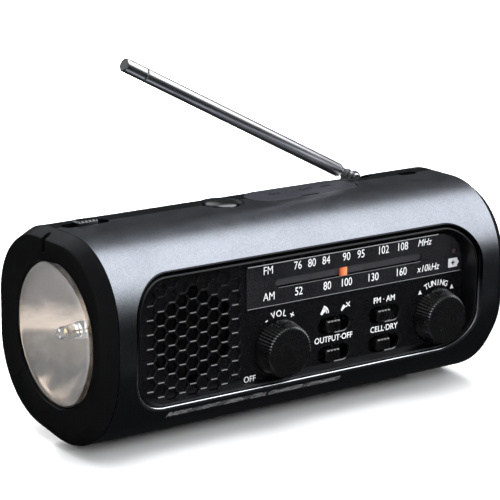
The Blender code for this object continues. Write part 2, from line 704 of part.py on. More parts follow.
def crank():
    axle = (CRANK_X, 0, CRANK_Z)
    hub = [
        (0, 22.0), (3.0, 22.0), (3.0, 27.6), (4.0, 27.6), (4.0, 32.0), (10.5, 32.0), (10.5, 38.2),
        (9.7, 39.0), (0, 39.0),
    ]
    part("crank_hub", turned(hub, 24, "Y", axle), "knob_black", axle)
    wheel("crank_gear", CRANK_X, CRANK_TEETH, 0.0, 23.0, 27.0, 3.3)
    end_x = CRANK_X - ARM_REACH
    middle = (CRANK_X + end_x) / 2
    outline = stadium((middle, CRANK_Z), ARM_REACH + 2 * ARM_HALF, 2 * ARM_HALF, 12)
    slot = rounded_box((end_x - 4.2, CRANK_Z - 4.9), (end_x + 27.6, CRANK_Z + 4.9), 1.2, 3)
    arm = part("crank_arm", prism(outline, "Y", *ARM_Y, [slot]), "knob_black", axle)
    cut(arm, rod(10.8, "Y", 30, 45, (CRANK_X, CRANK_Z), 24), rod(1.5, "Z", 30, 60, (end_x, GRIP_Y), 12))
    fold = (end_x, GRIP_Y, CRANK_Z)
    spindle = part(
        "grip_spindle", rod(3.0, "Z", CRANK_Z - 4.5, CRANK_Z + 4.5, (end_x, GRIP_Y), 16), "steel", fold
    )
    join(spindle, rod(1.2, "Z", CRANK_Z - 7.4, CRANK_Z + 7.4, (end_x, GRIP_Y), 12))
    join(spindle, rod(1.7, "X", end_x + 1, end_x + 26.6, (GRIP_Y, CRANK_Z), 12))
    join(spindle, rod(2.8, "X", end_x + 25.8, end_x + 26.8, (GRIP_Y, CRANK_Z), 12))
    low = end_x + 4.3
    grip = [
        (2.05, low), (GRIP_R - 0.6, low), (GRIP_R, low + 0.8), (GRIP_R, low + GRIP_L - 0.8),
        (GRIP_R - 0.6, low + GRIP_L), (2.05, low + GRIP_L),
    ]
    part("crank_grip", turned(grip, 20, "X", (0, GRIP_Y, CRANK_Z), ring=True), "knob_black", fold)


def wheel(name, x, teeth, phase, low, high, bore, finish="white_plastic"):
    """A spur gear at x on the crank's height."""
    outline = [(x + u, CRANK_Z + v) for u, v in gear_outline(teeth, phase)]
    hole = circle(bore, 16, (x, CRANK_Z))
    return part(name, prism(outline, "Y", low, high, [hole]), finish, (x, 0, CRANK_Z))


def dynamo():
    """The idler carries a pinion driven by the crank's gear, and a wheel that drives the rotor's pinion."""
    idler = wheel("idler_gear", IDLER_X, IDLER_TEETH, 0.0, 19.0, 21.4, 1.5)
    pinion = [(IDLER_X + u, CRANK_Z + v) for u, v in gear_outline(PINION_TEETH, 0.5)]
    join(idler, prism(pinion, "Y", 21.0, 27.0, [circle(1.5, 16, (IDLER_X, CRANK_Z))]))
    pin = [(0, 17.6), (2.6, 17.6), (2.6, 18.7), (1.2, 18.7), (1.2, 29.0), (0, 29.0)]
    part("idler_axle", turned(pin, 16, "Y", (IDLER_X, 0, CRANK_Z)), "steel")
    at = (ROTOR_X, 0, CRANK_Z)
    can = [(6.8, 17.0), (11.5, 17.0), (11.5, 0.5), (0, 0.5), (0, 1.7), (6.8, 1.7)]
    part("dynamo_housing", turned(can, 28, "Y", at, ring=True), "steel")
    rotor = wheel("dynamo_rotor", ROTOR_X, PINION_TEETH, 0.5, 18.4, 22.0, 1.0, "ferrite")
    join(rotor, rod(1.4, "Y", 3.0, 24.0, (ROTOR_X, CRANK_Z), 12))
    join(rotor, rod(6.0, "Y", 5.0, 13.0, (ROTOR_X, CRANK_Z), 24))


def aerial():
    """A swivelling base, and four telescopic sections that tilt on its pin."""
    pivot = Vector((AERIAL_X, AERIAL_Y, AERIAL_Z))
    x, y, z = pivot
    floor = SHELF_Z - 1.0
    base = [
        (0, 71.0), (5.0, 71.0), (5.0, 72.2), (3.0, 72.2), (3.0, floor + GAP), (5.6, floor + GAP),
        (5.6, z - 2.6), (0, z - 2.6),
    ]
    stand = part("antenna_base", turned(base, 20, "Z", (x, y, 0)), "chrome", pivot)
    for low, high in ((1.7, 3.3), (-3.3, -1.7)):
        ear = [(x - 2.6, z - 3.0), (x + 2.6, z - 3.0), *arc((x, z), 2.6, 0, 180, 8)]
        join(stand, prism(ear, "Y", y + low, y + high))
    cut(stand, rod(1.15, "Y", y - 9, y + 9, (x, z), 12))
    pin = [(0, -4.2), (1.8, -4.2), (1.8, -3.6), (0.85, -3.6), (0.85, 3.6), (1.8, 3.6), (1.8, 4.2), (0, 4.2)]
    part("antenna_pin", turned(pin, 12, "Y", pivot), "chrome", pivot)
    tilt = Matrix.Translation(pivot) @ Matrix.Rotation(-math.radians(180 - AERIAL_ANGLE), 4, "Y")
    end = AERIAL_TIP - TIP_L
    sections = ((TUBE_R, 2.4, 6.2, end - 0.7), (2.15, 1.85, 12.0, end - 0.9), (1.6, 1.3, 15.0, end - 1.1))
    for number, (outer, bore, low, high) in enumerate(sections, 1):
        profile = [(bore, low), (outer, low), (outer, high), (bore, high)]
        bm = turned(profile, 16, "X", ring=True)
        bmesh.ops.transform(bm, verts=bm.verts, matrix=tilt)
        tube = part(f"antenna_section_{number}", bm, "chrome", pivot)
        if number > 1:
            continue
        knuckle = rod(2.1, "Y", -1.4, 1.4, (0, 0), 16)
        tongue = block((0.5, -1.4, -1.9), (7.5, 1.4, 1.9))
        plug = rod(TUBE_R - 0.05, "X", 6.0, 9.0, (0, 0), 16)
        for solid in (knuckle, tongue, plug):
            bmesh.ops.transform(solid, verts=solid.verts, matrix=tilt)
            join(tube, solid)
        cut(tube, rod(1.15, "Y", y - 9, y + 9, (x, z), 12))
    tip = [
        (0, 18), (1.0, 18), (1.0, end), (TUBE_R, end),
        (TUBE_R, AERIAL_TIP - 0.5), (TUBE_R - 0.5, AERIAL_TIP), (0, AERIAL_TIP),
    ]
    bm = turned(tip, 16, "X")
    bmesh.ops.transform(bm, verts=bm.verts, matrix=tilt)
    part("antenna_section_4", bm, "chrome", pivot)


def strap_bar():
    low, high = STRAP_X - 8.0, STRAP_X + 8.0
    part("strap_bar", rod(1.3, "X", low, high, (PARTING_Y, INNER_TOP - 1.8), 12), "chrome")


def base_pad():
    steps = 8
    low, high = PAD_Y
    across = [low + (high - low) * i / steps for i in range(steps + 1)]
    outline = [(low, 0), (high, 0)] + [(y, bottom_z(y) - GAP) for y in reversed(across)]
    part("base_pad", prism(outline, "X", -PAD_X, PAD_X), "rubber")


def clear_scene():
    for obj in list(bpy.data.objects):
        bpy.data.objects.remove(obj, do_unlink=True)


def main():
    clear_scene()
    front_shell()
    rear_shell()
    end_caps()
    front_panel()
    dial()
    knobs()
    slide_switches()
    light_switch()
    top_button()
    port_cover()
    ports()
    torch()
    speaker()
    electronics()
    battery_door()
    case_screws()
    crank()
    dynamo()
    aerial()
    strap_bar()
    base_pad()


main()
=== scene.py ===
"""Looks for the emergency radio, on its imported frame.

Shapes are written in millimetres in the frame's axes: +X right, -Y front, +Z up.
"""

import math

import bmesh
import bpy
from mathutils import Matrix, Vector
from mathutils.geometry import tessellate_polygon


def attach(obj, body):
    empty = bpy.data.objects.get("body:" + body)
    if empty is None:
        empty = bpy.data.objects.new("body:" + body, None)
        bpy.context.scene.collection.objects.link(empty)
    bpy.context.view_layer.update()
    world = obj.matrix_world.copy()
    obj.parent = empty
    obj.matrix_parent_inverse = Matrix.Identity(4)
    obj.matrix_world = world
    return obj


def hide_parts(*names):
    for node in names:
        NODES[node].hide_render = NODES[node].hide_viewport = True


MM = 0.001
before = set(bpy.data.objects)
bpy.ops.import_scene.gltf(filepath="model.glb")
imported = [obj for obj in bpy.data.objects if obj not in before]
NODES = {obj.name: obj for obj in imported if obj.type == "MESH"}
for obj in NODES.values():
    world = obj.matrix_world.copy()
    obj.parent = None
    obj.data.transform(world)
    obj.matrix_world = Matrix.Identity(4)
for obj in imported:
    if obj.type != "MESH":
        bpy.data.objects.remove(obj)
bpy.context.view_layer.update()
FACETS = 28  # steps in a quarter of the body's section

# The body's section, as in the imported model.
LENGTH, DEPTH, HEIGHT, LIFT = 190.0, 76.8, 81.2, 0.8
R_TOP, R_BOTTOM, WALL, CAP = 30.25, 38.0, 2.2, 5.3
PARTING_Y = 4.8
HALF, SEAM_X, TOP_Z = LENGTH / 2, LENGTH / 2 - CAP, LIFT + HEIGHT
INNER_TOP = TOP_Z - WALL
RECESS_X, RECESS_Z, RECESS_R = (-80.8, 79.6), (18.8, 68.8), 15.0
PANEL_Y = -28.8
DIAL_Y = PANEL_Y - 0.45
TORCH = (0, -1.5, 43.7)
VOLUME, TUNING = (-12.4, 31.6), (65.0, 31.8)
DIAL_X, DIAL_Z = (-27.6, 77.4), (48.4, 65.3)
SLOT_X, SLOT_Z, SLOT_H = (-14.4, 57.0), 57.0, 3.4
SWITCHES = {
    "siren_switch": (14.0, 36.4),
    "output_switch": (14.0, 24.8),
    "band_switch": (38.9, 36.6),
    "battery_switch": (38.9, 24.9),
}
AERIAL = Vector((56.8, 17.0, 81.1))
AERIAL_ANGLE = math.radians(27.33)
AERIAL_END, TIP_L = 122.3, 9.7
CRANK = (28.0, 45.0)
BUTTON = (-16.1, 4.4)
FLAP = (22.25, 4.5)
SLIDER_X = -77.0
SCREWS_X, SCREW_Z = (-84.5, 84.5), 14.0
SEAM_GAP = 0.12
LIP = 1.5  # radius of the painted rim round the recess
INK = 0.03  # how far print stands off its surface
FOLD_X, GRIP_Y = -18.0, 36.3


# ---- outlines -----------------------------------------------------------
def arc(centre, radius, start, end, steps):
    angles = [math.radians(start + (end - start) * i / steps) for i in range(steps + 1)]
    return [(centre[0] + radius * math.cos(a), centre[1] + radius * math.sin(a)) for a in angles]


def circle(radius, steps, centre=(0.0, 0.0), start=0.0):
    return arc(centre, radius, start, start + 360, steps)[:-1]


def rounded_box(low, high, radius, steps=8):
    (x0, z0), (x1, z1) = low, high
    corners = (
        ((x1 - radius, z0 + radius), -90),
        ((x1 - radius, z1 - radius), 0),
        ((x0 + radius, z1 - radius), 90),
        ((x0 + radius, z0 + radius), 180),
    )
    return [p for centre, start in corners for p in arc(centre, radius, start, start + 90, steps)]


def stadium(centre, length, width, steps=14):
    reach, r = (length - width) / 2, width / 2
    right = arc((centre[0] + reach, centre[1]), r, -90, 90, steps)
    left = arc((centre[0] - reach, centre[1]), r, 90, 270, steps)
    return right + left


def section(half, centre, bottom, top, rt, rb, steps=FACETS):
    """A body section as (y, z), from the top's rear edge forwards and round."""
    front, rear = centre - half, centre + half
    return (
        arc((front + rt, top - rt), rt, 90, 180, steps)
        + arc((front + rb, bottom + rb), rb, 180, 270, steps)
        + arc((rear - rb, bottom + rb), rb, 270, 360, steps)
        + arc((rear - rt, top - rt), rt, 0, 90, steps)
    )


def body_section(inset=0.0):
    return section(DEPTH / 2 - inset, 0, LIFT + inset, TOP_Z - inset, R_TOP - inset, R_BOTTOM - inset)


def face_section():
    return section(35.7, 1.5, 6.2, 78.6, 27.0, 30.9)


def side_y(z, inset=0.0):
    """The body's half depth at height z."""
    half, rt, rb = DEPTH / 2 - inset, R_TOP - inset, R_BOTTOM - inset
    high = min(max(z - (TOP_Z - inset - rt), 0.0), rt)
    low = min(max(LIFT + inset + rb - z, 0.0), rb)
    if high:
        return half - rt + math.sqrt(rt * rt - high * high)
    return half - rb + math.sqrt(rb * rb - low * low)


def edge_z(y, inset, upper):
    half = DEPTH / 2 - inset
    r = (R_TOP if upper else R_BOTTOM) - inset
    over = max(abs(y) - (half - r), 0.0)
    drop = math.sqrt(r * r - over * over)
    return TOP_Z - inset - r + drop if upper else LIFT + inset + r - drop


def side_section(rear, inset=0.0):
    y = PARTING_Y + (SEAM_GAP if rear else -SEAM_GAP)
    keep = (lambda p: p[0] > y + 0.05) if rear else (lambda p: p[0] < y - 0.05)
    points = [p for p in body_section(inset) if keep(p)]
    points = [p for i, p in enumerate(points) if i == 0 or math.dist(p, points[i - 1]) > 1e-4]
    if rear:
        first = next(i for i in range(len(points)) if math.dist(points[i], points[i - 1]) > 20)
        points = points[first:] + points[:first]
        points.reverse()
    return [(y, edge_z(y, inset, True)), *points, (y, edge_z(y, inset, False))]


def offset(points, amount):
    """A closed outline moved outwards by amount, mitred."""
    area = sum(a[0] * b[1] - b[0] * a[1] for a, b in zip(points, points[1:] + points[:1]))
    side = 1 if area > 0 else -1
    moved = []
    count = len(points)
    for i in range(count):
        before, here, after = (Vector(points[(i + k) % count]) for k in (-1, 0, 1))
        one, two = here - before, after - here
        if one.length < 1e-6:
            one = two
        if two.length < 1e-6:
            two = one
        n1 = Vector((one.y, -one.x)).normalized() * side
        n2 = Vector((two.y, -two.x)).normalized() * side
        mitre = n1 + n2
        scale = 2 / max(mitre.length_squared, 0.5)
        moved.append((here.x + mitre.x * scale * amount, here.y + mitre.y * scale * amount))
    return moved


# ---- solids -------------------------------------------------------------
def place(axis, u, v, depth):
    """World place of an outline's (u, v) at a depth along a world axis."""
    if axis == "X":
        return (depth, u, v)
    if axis == "Y":
        return (u, depth, v)
    return (u, v, depth)


def fill(bm, loops, axis, depth):
    """A flat face at a depth, from an outline and its holes."""
    points = [p for loop in loops for p in loop]
    verts = [bm.verts.new(place(axis, u, v, depth)) for u, v in points]
    for corners in tessellate_polygon([[Vector((u, v, 0)) for u, v in loop] for loop in loops]):
        try:
            bm.faces.new([verts[i] for i in corners])
        except ValueError:
            pass


def strip(bm, rings):
    """Quads between rings of points with as many points each."""
    rows = [[bm.verts.new(p) for p in ring] for ring in rings]
    count = len(rows[0])
    for one, two in zip(rows, rows[1:]):
        for i in range(count):
            j = (i + 1) % count
            bm.faces.new((one[i], one[j], two[j], two[i]))
    return rows


def weld(bm, dist=1e-4):
    bmesh.ops.remove_doubles(bm, verts=bm.verts, dist=dist)
    bmesh.ops.recalc_face_normals(bm, faces=bm.faces)
    return bm


def pierced(outline, holes, axis, front, back, round_by=0.0, blind=()):
    """A plate from front to back, with chamfered rims at its front. Blind holes have a floor."""
    bm = bmesh.new()
    way = 1 if back > front else -1
    steps = ((round_by, 0.0), (0.0, round_by)) if round_by else ((0.0, 0.0),)
    rim = steps[0][0]
    grown = [offset(outline, -rim)] + [offset(h, rim) for h in holes]
    grown += [offset(h, rim) for h, _ in blind]
    fill(bm, grown, axis, front)
    fill(bm, [outline, *holes], axis, back)
    walls = [(outline, -1, back)] + [(h, 1, back) for h in holes] + [(h, 1, d) for h, d in blind]
    for loop, sign, end in walls:
        rings = []
        for out, down in steps:
            rings.append([place(axis, u, v, front + way * down) for u, v in offset(loop, sign * out)])
        rings.append([place(axis, u, v, end) for u, v in loop])
        strip(bm, rings)
    for loop, depth in blind:
        fill(bm, [loop], axis, depth)
    return weld(bm)


def prism(outline, axis, low, high, holes=(), round_by=0.0):
    return pierced(outline, holes, axis, low, high, round_by)


def turned(profile, steps, axis="Z", at=(0, 0, 0), ring=False, wave=None):
    """A profile of (radius, height) turned about an axis. wave(angle, radius) may change the radius."""
    bm = bmesh.new()
    rows = []
    for radius, height in profile:
        if radius < 1e-6:
            rows.append([bm.verts.new((0, 0, height))] * steps)
            continue
        row = []
        for i in range(steps):
            a = 2 * math.pi * i / steps
            r = wave(a, radius) if wave else radius
            row.append(bm.verts.new((r * math.cos(a), r * math.sin(a), height)))
        rows.append(row)
    pairs = list(zip(rows, rows[1:])) + ([(rows[-1], rows[0])] if ring else [])
    for one, two in pairs:
        for i in range(steps):
            j = (i + 1) % steps
            corners = list(dict.fromkeys((one[i], one[j], two[j], two[i])))
            if len(corners) > 2:
                bm.faces.new(corners)
    turn = {
        "X": Matrix.Rotation(math.pi / 2, 4, "Y"),
        "Y": Matrix.Rotation(-math.pi / 2, 4, "X"),
        "Z": Matrix.Identity(4),
    }[axis]
    bmesh.ops.transform(bm, verts=bm.verts, matrix=Matrix.Translation(Vector(at)) @ turn)
    bmesh.ops.recalc_face_normals(bm, faces=bm.faces)
    return bm


def quarter_turn(steps=10):
    return [math.pi / 2 * i / steps for i in range(steps + 1)]


def rod(radius, axis, low, high, centre, steps=40):
    at = list(centre)
    at.insert("XYZ".index(axis), 0)
    return turned([(0, low), (radius, low), (radius, high), (0, high)], steps, axis, at)


def block(low, high):
    bm = bmesh.new()
    bmesh.ops.create_cube(bm, size=1)
    bmesh.ops.scale(bm, verts=bm.verts, vec=Vector(high) - Vector(low))
    bmesh.ops.translate(bm, verts=bm.verts, vec=(Vector(low) + Vector(high)) / 2)
    return bm


def merge(*solids):
    whole = bmesh.new()
    for bm in solids:
        mesh = bpy.data.meshes.new("part")
        bm.to_mesh(mesh)
        bm.free()
        whole.from_mesh(mesh)
        bpy.data.meshes.remove(mesh)
    return whole


def mesh_object(name, bm):
    bmesh.ops.scale(bm, verts=bm.verts, vec=(MM, MM, MM))
    mesh = bpy.data.meshes.new(name)
    bm.to_mesh(mesh)
    bm.free()
    made = bpy.data.objects.new(name, mesh)
    bpy.context.scene.collection.objects.link(made)
    return made


def bake(obj):
    """Replaces an object's mesh by what its modifiers make of it."""
    graph = bpy.context.evaluated_depsgraph_get()
    mesh = bpy.data.meshes.new_from_object(obj.evaluated_get(graph))
    obj.modifiers.clear()
    old = obj.data
    obj.data = mesh
    bpy.data.meshes.remove(old)


def cut(obj, *solids, operation="DIFFERENCE"):
    bm = merge(*solids)
    bmesh.ops.recalc_face_normals(bm, faces=bm.faces)
    tool = mesh_object("tool", bm)
    modifier = obj.modifiers.new("cut", "BOOLEAN")
    modifier.operation = operation
    modifier.solver = "EXACT"
    modifier.object = tool
    bake(obj)
    bpy.data.objects.remove(tool)


def shade(obj, angle=30):
    obj.data.shade_smooth()
    obj.data.set_sharp_from_angle(angle=math.radians(angle))


def skin_normal(y, z):
    """The body section's outward normal at a place on it."""
    for centre, radius, beyond in ((TOP_Z - R_TOP, R_TOP, 1), (LIFT + R_BOTTOM, R_BOTTOM, -1)):
        if (z - centre) * beyond > 0:
            over = abs(y) - (DEPTH / 2 - radius)
            return Vector((0, math.copysign(max(over, 0.0), y), z - centre)).normalized()
    return Vector((0, math.copysign(1.0, y), 0))


def true_normals(obj):
    """Shades a shell's skin as the smooth section it follows, and its cut edges as flat."""
    mesh, normals = obj.data, []
    for face in mesh.polygons:
        for index in face.loop_indices:
            here = mesh.vertices[mesh.loops[index].vertex_index].co / MM
            smooth = skin_normal(here.y, here.z)
            normals.append(smooth if smooth.dot(face.normal) > 0.995 else face.normal.copy())
    mesh.normals_split_custom_set(normals)


def piece(name, bm, material, body="base", replaces=(), round_by=0.0, angle=30):
    return dress(mesh_object(name, bm), material, body, replaces, round_by, angle)


def dress(obj, material, body="base", replaces=(), round_by=0.0, angle=30):
    """Gives a piece its material, soft edges and body, and hides the nodes it replaces."""
    obj.data.materials.clear()
    obj.data.materials.append(material)
    if round_by:
        bevel = obj.modifiers.new("edges", "BEVEL")
        bevel.width = round_by * MM
        bevel.segments = 2
        bevel.limit_method = "ANGLE"
        bevel.angle_limit = math.radians(35)
        bake(obj)
    shade(obj, angle)
    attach(obj, body)
    for node in replaces:
        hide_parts(node)
    return obj


# ---- materials ----------------------------------------------------------
COAT = {"Coat_Weight": 0.8, "Coat_Roughness": 0.12}


class Shader:
    """Builds a procedural material round one Principled shader, on object coordinates."""

    def __init__(self, name, **values):
        self.material = bpy.data.materials.new(name)
        self.material.use_nodes = True
        self.tree = self.material.node_tree
        self.surface = self.tree.nodes["Principled BSDF"]
        self.place = self.tree.nodes.new("ShaderNodeTexCoord").outputs["Object"]
        for key, value in values.items():
            socket = self.surface.inputs[key.replace("_", " ")]
            socket.default_value = (*value, 1) if key == "Base_Color" else value

    def node(self, kind, **values):
        made = self.tree.nodes.new(kind)
        for key, value in values.items():
            setattr(made, key, value)
        return made

    def link(self, output, target):
        self.tree.links.new(output, target)

    def mapped(self, scale):
        mapping = self.node("ShaderNodeMapping")
        mapping.inputs["Scale"].default_value = scale
        self.link(self.place, mapping.inputs["Vector"])
        return mapping.outputs["Vector"]

    def noise(self, scale, detail=3.0, vector=None, roughness=0.55):
        made = self.node("ShaderNodeTexNoise")
        made.inputs["Scale"].default_value = scale
        made.inputs["Detail"].default_value = detail
        made.inputs["Roughness"].default_value = roughness
        self.link(vector or self.place, made.inputs["Vector"])
        return made.outputs["Fac"]

    def cells(self, scale, vector=None, feature="F1"):
        made = self.node("ShaderNodeTexVoronoi", feature=feature)
        made.inputs["Scale"].default_value = scale
        self.link(vector or self.place, made.inputs["Vector"])
        return made

    def ramp(self, value, low, high, out_low=0.0, out_high=1.0):
        made = self.node("ShaderNodeMapRange", clamp=True)
        keys = ("From Min", "From Max", "To Min", "To Max")
        for key, number in zip(keys, (low, high, out_low, out_high)):
            made.inputs[key].default_value = number
        self.link(value, made.inputs["Value"])
        return made.outputs["Result"]

    def math(self, operation, one, two=None):
        made = self.node("ShaderNodeMath", operation=operation)
        for socket, value in zip(made.inputs, (one, two)):
            if value is None:
                continue
            if isinstance(value, (int, float)):
                socket.default_value = value
            else:
                self.link(value, socket)
        return made.outputs["Value"]

    def mix(self, factor, one, two):
        made = self.node("ShaderNodeMix", data_type="RGBA")
        self.link(factor, made.inputs["Factor"])
        for socket, value in ((made.inputs["A"], one), (made.inputs["B"], two)):
            if isinstance(value, tuple):
                socket.default_value = (*value, 1)
            else:
                self.link(value, socket)
        return made.outputs["Result"]

    def bump(self, height, strength, distance, below=None):
        made = self.node("ShaderNodeBump")
        made.inputs["Strength"].default_value = strength
        made.inputs["Distance"].default_value = distance
        self.link(height, made.inputs["Height"])
        if below is not None:
            self.link(below, made.inputs["Normal"])
        return made.outputs["Normal"]

    def axis(self, name):
        made = self.node("ShaderNodeSeparateXYZ")
        self.link(self.place, made.inputs["Vector"])
        return made.outputs[name]

    def finish(self, colour=None, roughness=None, normal=None):
        for key, value in (("Base Color", colour), ("Roughness", roughness), ("Normal", normal)):
            if value is not None:
                self.link(value, self.surface.inputs[key])
        return self.material


def shift(colour, share):
    return tuple(min(c * share, 1.0) for c in colour)


def moulded(name, colour, rough, grain=1500, depth=0.12, mottle=0.18, **values):
    """A moulded plastic or rubber: fine texture, cloudy tone, and a roughness that wanders."""
    s = Shader(name, **values)
    cloud = s.noise(45, 4)
    fine = s.noise(grain, 2)
    tone = s.math("ADD", s.math("MULTIPLY", cloud, 0.7), s.math("MULTIPLY", fine, 0.3))
    colour = s.mix(s.ramp(tone, 0.35, 0.65), shift(colour, 1 - mottle), shift(colour, 1 + mottle))
    wander = s.ramp(s.noise(120, 5), 0.3, 0.7, rough - 0.05, rough + 0.06)
    return s.finish(colour, wander, s.bump(fine, depth, 0.0002))


def metal(name, colour, rough, stretch=(1, 1, 1), depth=0.03, spread=0.05, **values):
    """A metal with fine drawn lines along the axis that stretch squeezes."""
    s = Shader(name, Metallic=1.0, **values)
    lines = s.noise(1.0, 3, s.mapped(tuple(900 * v for v in stretch)))
    cloud = s.noise(60, 4)
    tint = s.mix(s.ramp(cloud, 0.35, 0.65), shift(colour, 0.93), shift(colour, 1.04))
    blend = s.math("ADD", s.math("MULTIPLY", lines, 0.6), s.math("MULTIPLY", cloud, 0.4))
    wander = s.ramp(blend, 0.3, 0.7, max(rough - spread, 0.02), rough + spread)
    return s.finish(tint, wander, s.bump(lines, depth, 0.0001))


def gunmetal():
    """Satin metallic paint: fine flakes under a thin clear coat."""
    s = Shader("gunmetal_paint", Metallic=1.0)
    flakes = s.cells(3400)
    sparkle = s.ramp(flakes.outputs["Color"], 0.0, 1.0)
    cloud = s.noise(35, 4)
    tone = s.math("ADD", s.math("MULTIPLY", sparkle, 0.55), s.math("MULTIPLY", cloud, 0.45))
    colour = s.mix(s.ramp(tone, 0.25, 0.75), (0.225, 0.236, 0.262), (0.325, 0.339, 0.372))
    wander = s.ramp(s.noise(150, 5), 0.3, 0.7, 0.29, 0.35)
    flat = s.bump(s.noise(900, 3), 0.05, 0.0002)
    return s.finish(colour, wander, s.bump(sparkle, 0.035, 0.00005, flat))


def rim_painted_light():
    """The rim: black above as painted shade, and a bright line along its lower run as a painted highlight.
    """
    s = Shader("rim_painted_light", Metallic=1.0)
    cloud = s.noise(80, 4)
    # painted light: below a height the colour is bright silver, a painted highlight on the lower run; above
    # it, near black, painted shade
    low = s.ramp(s.math("ADD", s.axis("Z"), s.math("MULTIPLY", cloud, 0.004)), 0.036, 0.050)
    painted_highlight = s.mix(s.ramp(cloud, 0.35, 0.65), (0.80, 0.83, 0.88), (0.90, 0.93, 0.97))
    colour = s.mix(low, painted_highlight, (0.035, 0.035, 0.04))
    return s.finish(colour, s.ramp(cloud, 0.3, 0.7, 0.20, 0.26), s.bump(s.noise(900, 3), 0.03, 0.0001))


def glossy_black():
    """The dial's lens: black, polished, with the faintest orange peel."""
    s = Shader("dial_gloss", Specular_IOR_Level=1.0, **COAT)
    cloud = s.noise(50, 3)
    colour = s.mix(s.ramp(cloud, 0.35, 0.65), (0.010, 0.010, 0.012), (0.016, 0.016, 0.018))
    wander = s.ramp(s.noise(300, 4), 0.3, 0.7, 0.09, 0.15)
    return s.finish(colour, wander, s.bump(cloud, 0.04, 0.0004))


def clear(name, tint, rough, **values):
    s = Shader(name, Transmission_Weight=1.0, **values)
    haze = s.noise(90, 4)
    colour = s.mix(s.ramp(haze, 0.35, 0.65), tint, shift(tint, 0.96))
    wander = s.ramp(s.noise(500, 3), 0.3, 0.7, max(rough - 0.015, 0.0), rough + 0.02)
    return s.finish(colour, wander, s.bump(haze, 0.015, 0.0003))


def mirrored():
    """The torch's vacuum metallised reflector: warm, with faint turning lines and haze, and painted shade
    over its upper part.
    """
    s = Shader("reflector_silver", Metallic=1.0)
    centred = s.node("ShaderNodeVectorMath", operation="SUBTRACT")
    centred.inputs[1].default_value = tuple(v * MM for v in TORCH)
    s.link(s.place, centred.inputs[0])
    flat = s.node("ShaderNodeVectorMath", operation="MULTIPLY")
    flat.inputs[1].default_value = (0, 1, 1)
    s.link(centred.outputs["Vector"], flat.inputs[0])
    far = s.node("ShaderNodeVectorMath", operation="LENGTH")
    s.link(flat.outputs["Vector"], far.inputs[0])
    rings = s.math("SINE", s.math("MULTIPLY", far.outputs["Value"], 9000))
    cloud = s.noise(160, 5)
    lower = s.mix(s.ramp(cloud, 0.3, 0.7), (0.49, 0.395, 0.315), (0.59, 0.48, 0.385))
    # painted shade: above a height the bowl is coloured near black, for the dark it reflects there; below,
    # the warm metal colour stays
    high = s.math("ADD", s.axis("Z"), s.math("MULTIPLY", cloud, 0.012))
    colour = s.mix(s.ramp(high, 0.044, 0.058), lower, (0.056, 0.046, 0.040))
    wander = s.ramp(s.noise(240, 5), 0.3, 0.7, 0.14, 0.24)
    return s.finish(colour, wander, s.bump(cloud, 0.05, 0.0006, s.bump(rings, 0.02, 0.00005)))


def pointer_orange():
    """Fluorescent orange with a painted glow, and painted deep red at its left edge for light piping out of
    it.
    """
    # painted glow: a faint orange emission, though the pointer is no lamp
    s = Shader("pointer_orange", Emission_Color=(0.9, 0.16, 0.03, 1), Emission_Strength=0.12)
    # painted light: towards the left edge the colour darkens to deep red, for light piping out there
    low, high = (17.8 - 1.85) * MM, (17.8 + 1.85) * MM
    edge = s.ramp(s.axis("X"), low, high, 0.0, 0.85)
    along = s.math("ADD", edge, s.math("MULTIPLY", s.noise(700, 3), 0.15))
    colour = s.mix(along, (0.22, 0.02, 0.01), (1.0, 0.30, 0.10))
    wander = s.ramp(s.noise(900, 2), 0.3, 0.7, 0.32, 0.42)
    return s.finish(colour, wander, s.bump(s.noise(900, 2), 0.05, 0.0001))


def printed(name, colour):
    """Pad-printed ink: slightly uneven, with soft speckle."""
    s = Shader(name)
    speck = s.noise(2600, 3)
    tint = s.mix(s.ramp(speck, 0.3, 0.6), shift(colour, 0.86), colour)
    return s.finish(tint, s.ramp(speck, 0.3, 0.7, 0.45, 0.6), s.bump(speck, 0.06, 0.0001))


def circuit(name, mask, track):
    """Solder mask over tracks, with tinned pads."""
    s = Shader(name)
    brick = s.node("ShaderNodeTexBrick", offset=0.5)
    brick.inputs["Scale"].default_value = 260
    brick.inputs["Mortar Size"].default_value = 0.06
    turn = s.node("ShaderNodeMapping")
    turn.inputs["Rotation"].default_value = (math.pi / 2, 0, 0)
    s.link(s.place, turn.inputs["Vector"])
    s.link(turn.outputs["Vector"], brick.inputs["Vector"])
    tracks = brick.outputs["Fac"]
    pads = s.ramp(s.cells(420).outputs["Distance"], 0.16, 0.2, 1.0, 0.0)
    colour = s.mix(pads, s.mix(tracks, mask, track), (0.62, 0.60, 0.55))
    return s.finish(colour, s.ramp(s.noise(300, 3), 0.3, 0.7, 0.3, 0.45), s.bump(tracks, 0.15, 0.0001))


def cell_wrap(name, base, band):
    """A cell's shrink wrap, with a band of a second colour round one end."""
    s = Shader(name, Coat_Weight=0.4, Coat_Roughness=0.12)
    where = s.ramp(s.axis("X"), -0.0455, -0.0452)
    tone = s.mix(s.ramp(s.noise(40, 3), 0.3, 0.7), shift(base, 0.9), shift(base, 1.1))
    colour = s.mix(where, tone, band)
    wander = s.ramp(s.noise(200, 4), 0.3, 0.7, 0.28, 0.4)
    return s.finish(colour, wander, s.bump(s.noise(260, 3), 0.05, 0.0003))


def fibrous():
    s = Shader("cone_paper")
    fibres = s.noise(1.0, 5, s.mapped((1200, 300, 1200)))
    colour = s.mix(s.ramp(fibres, 0.3, 0.7), (0.001, 0.001, 0.001), (0.004, 0.004, 0.004))
    return s.finish(colour, s.ramp(fibres, 0.3, 0.7, 0.75, 0.95), s.bump(fibres, 0.3, 0.0003))


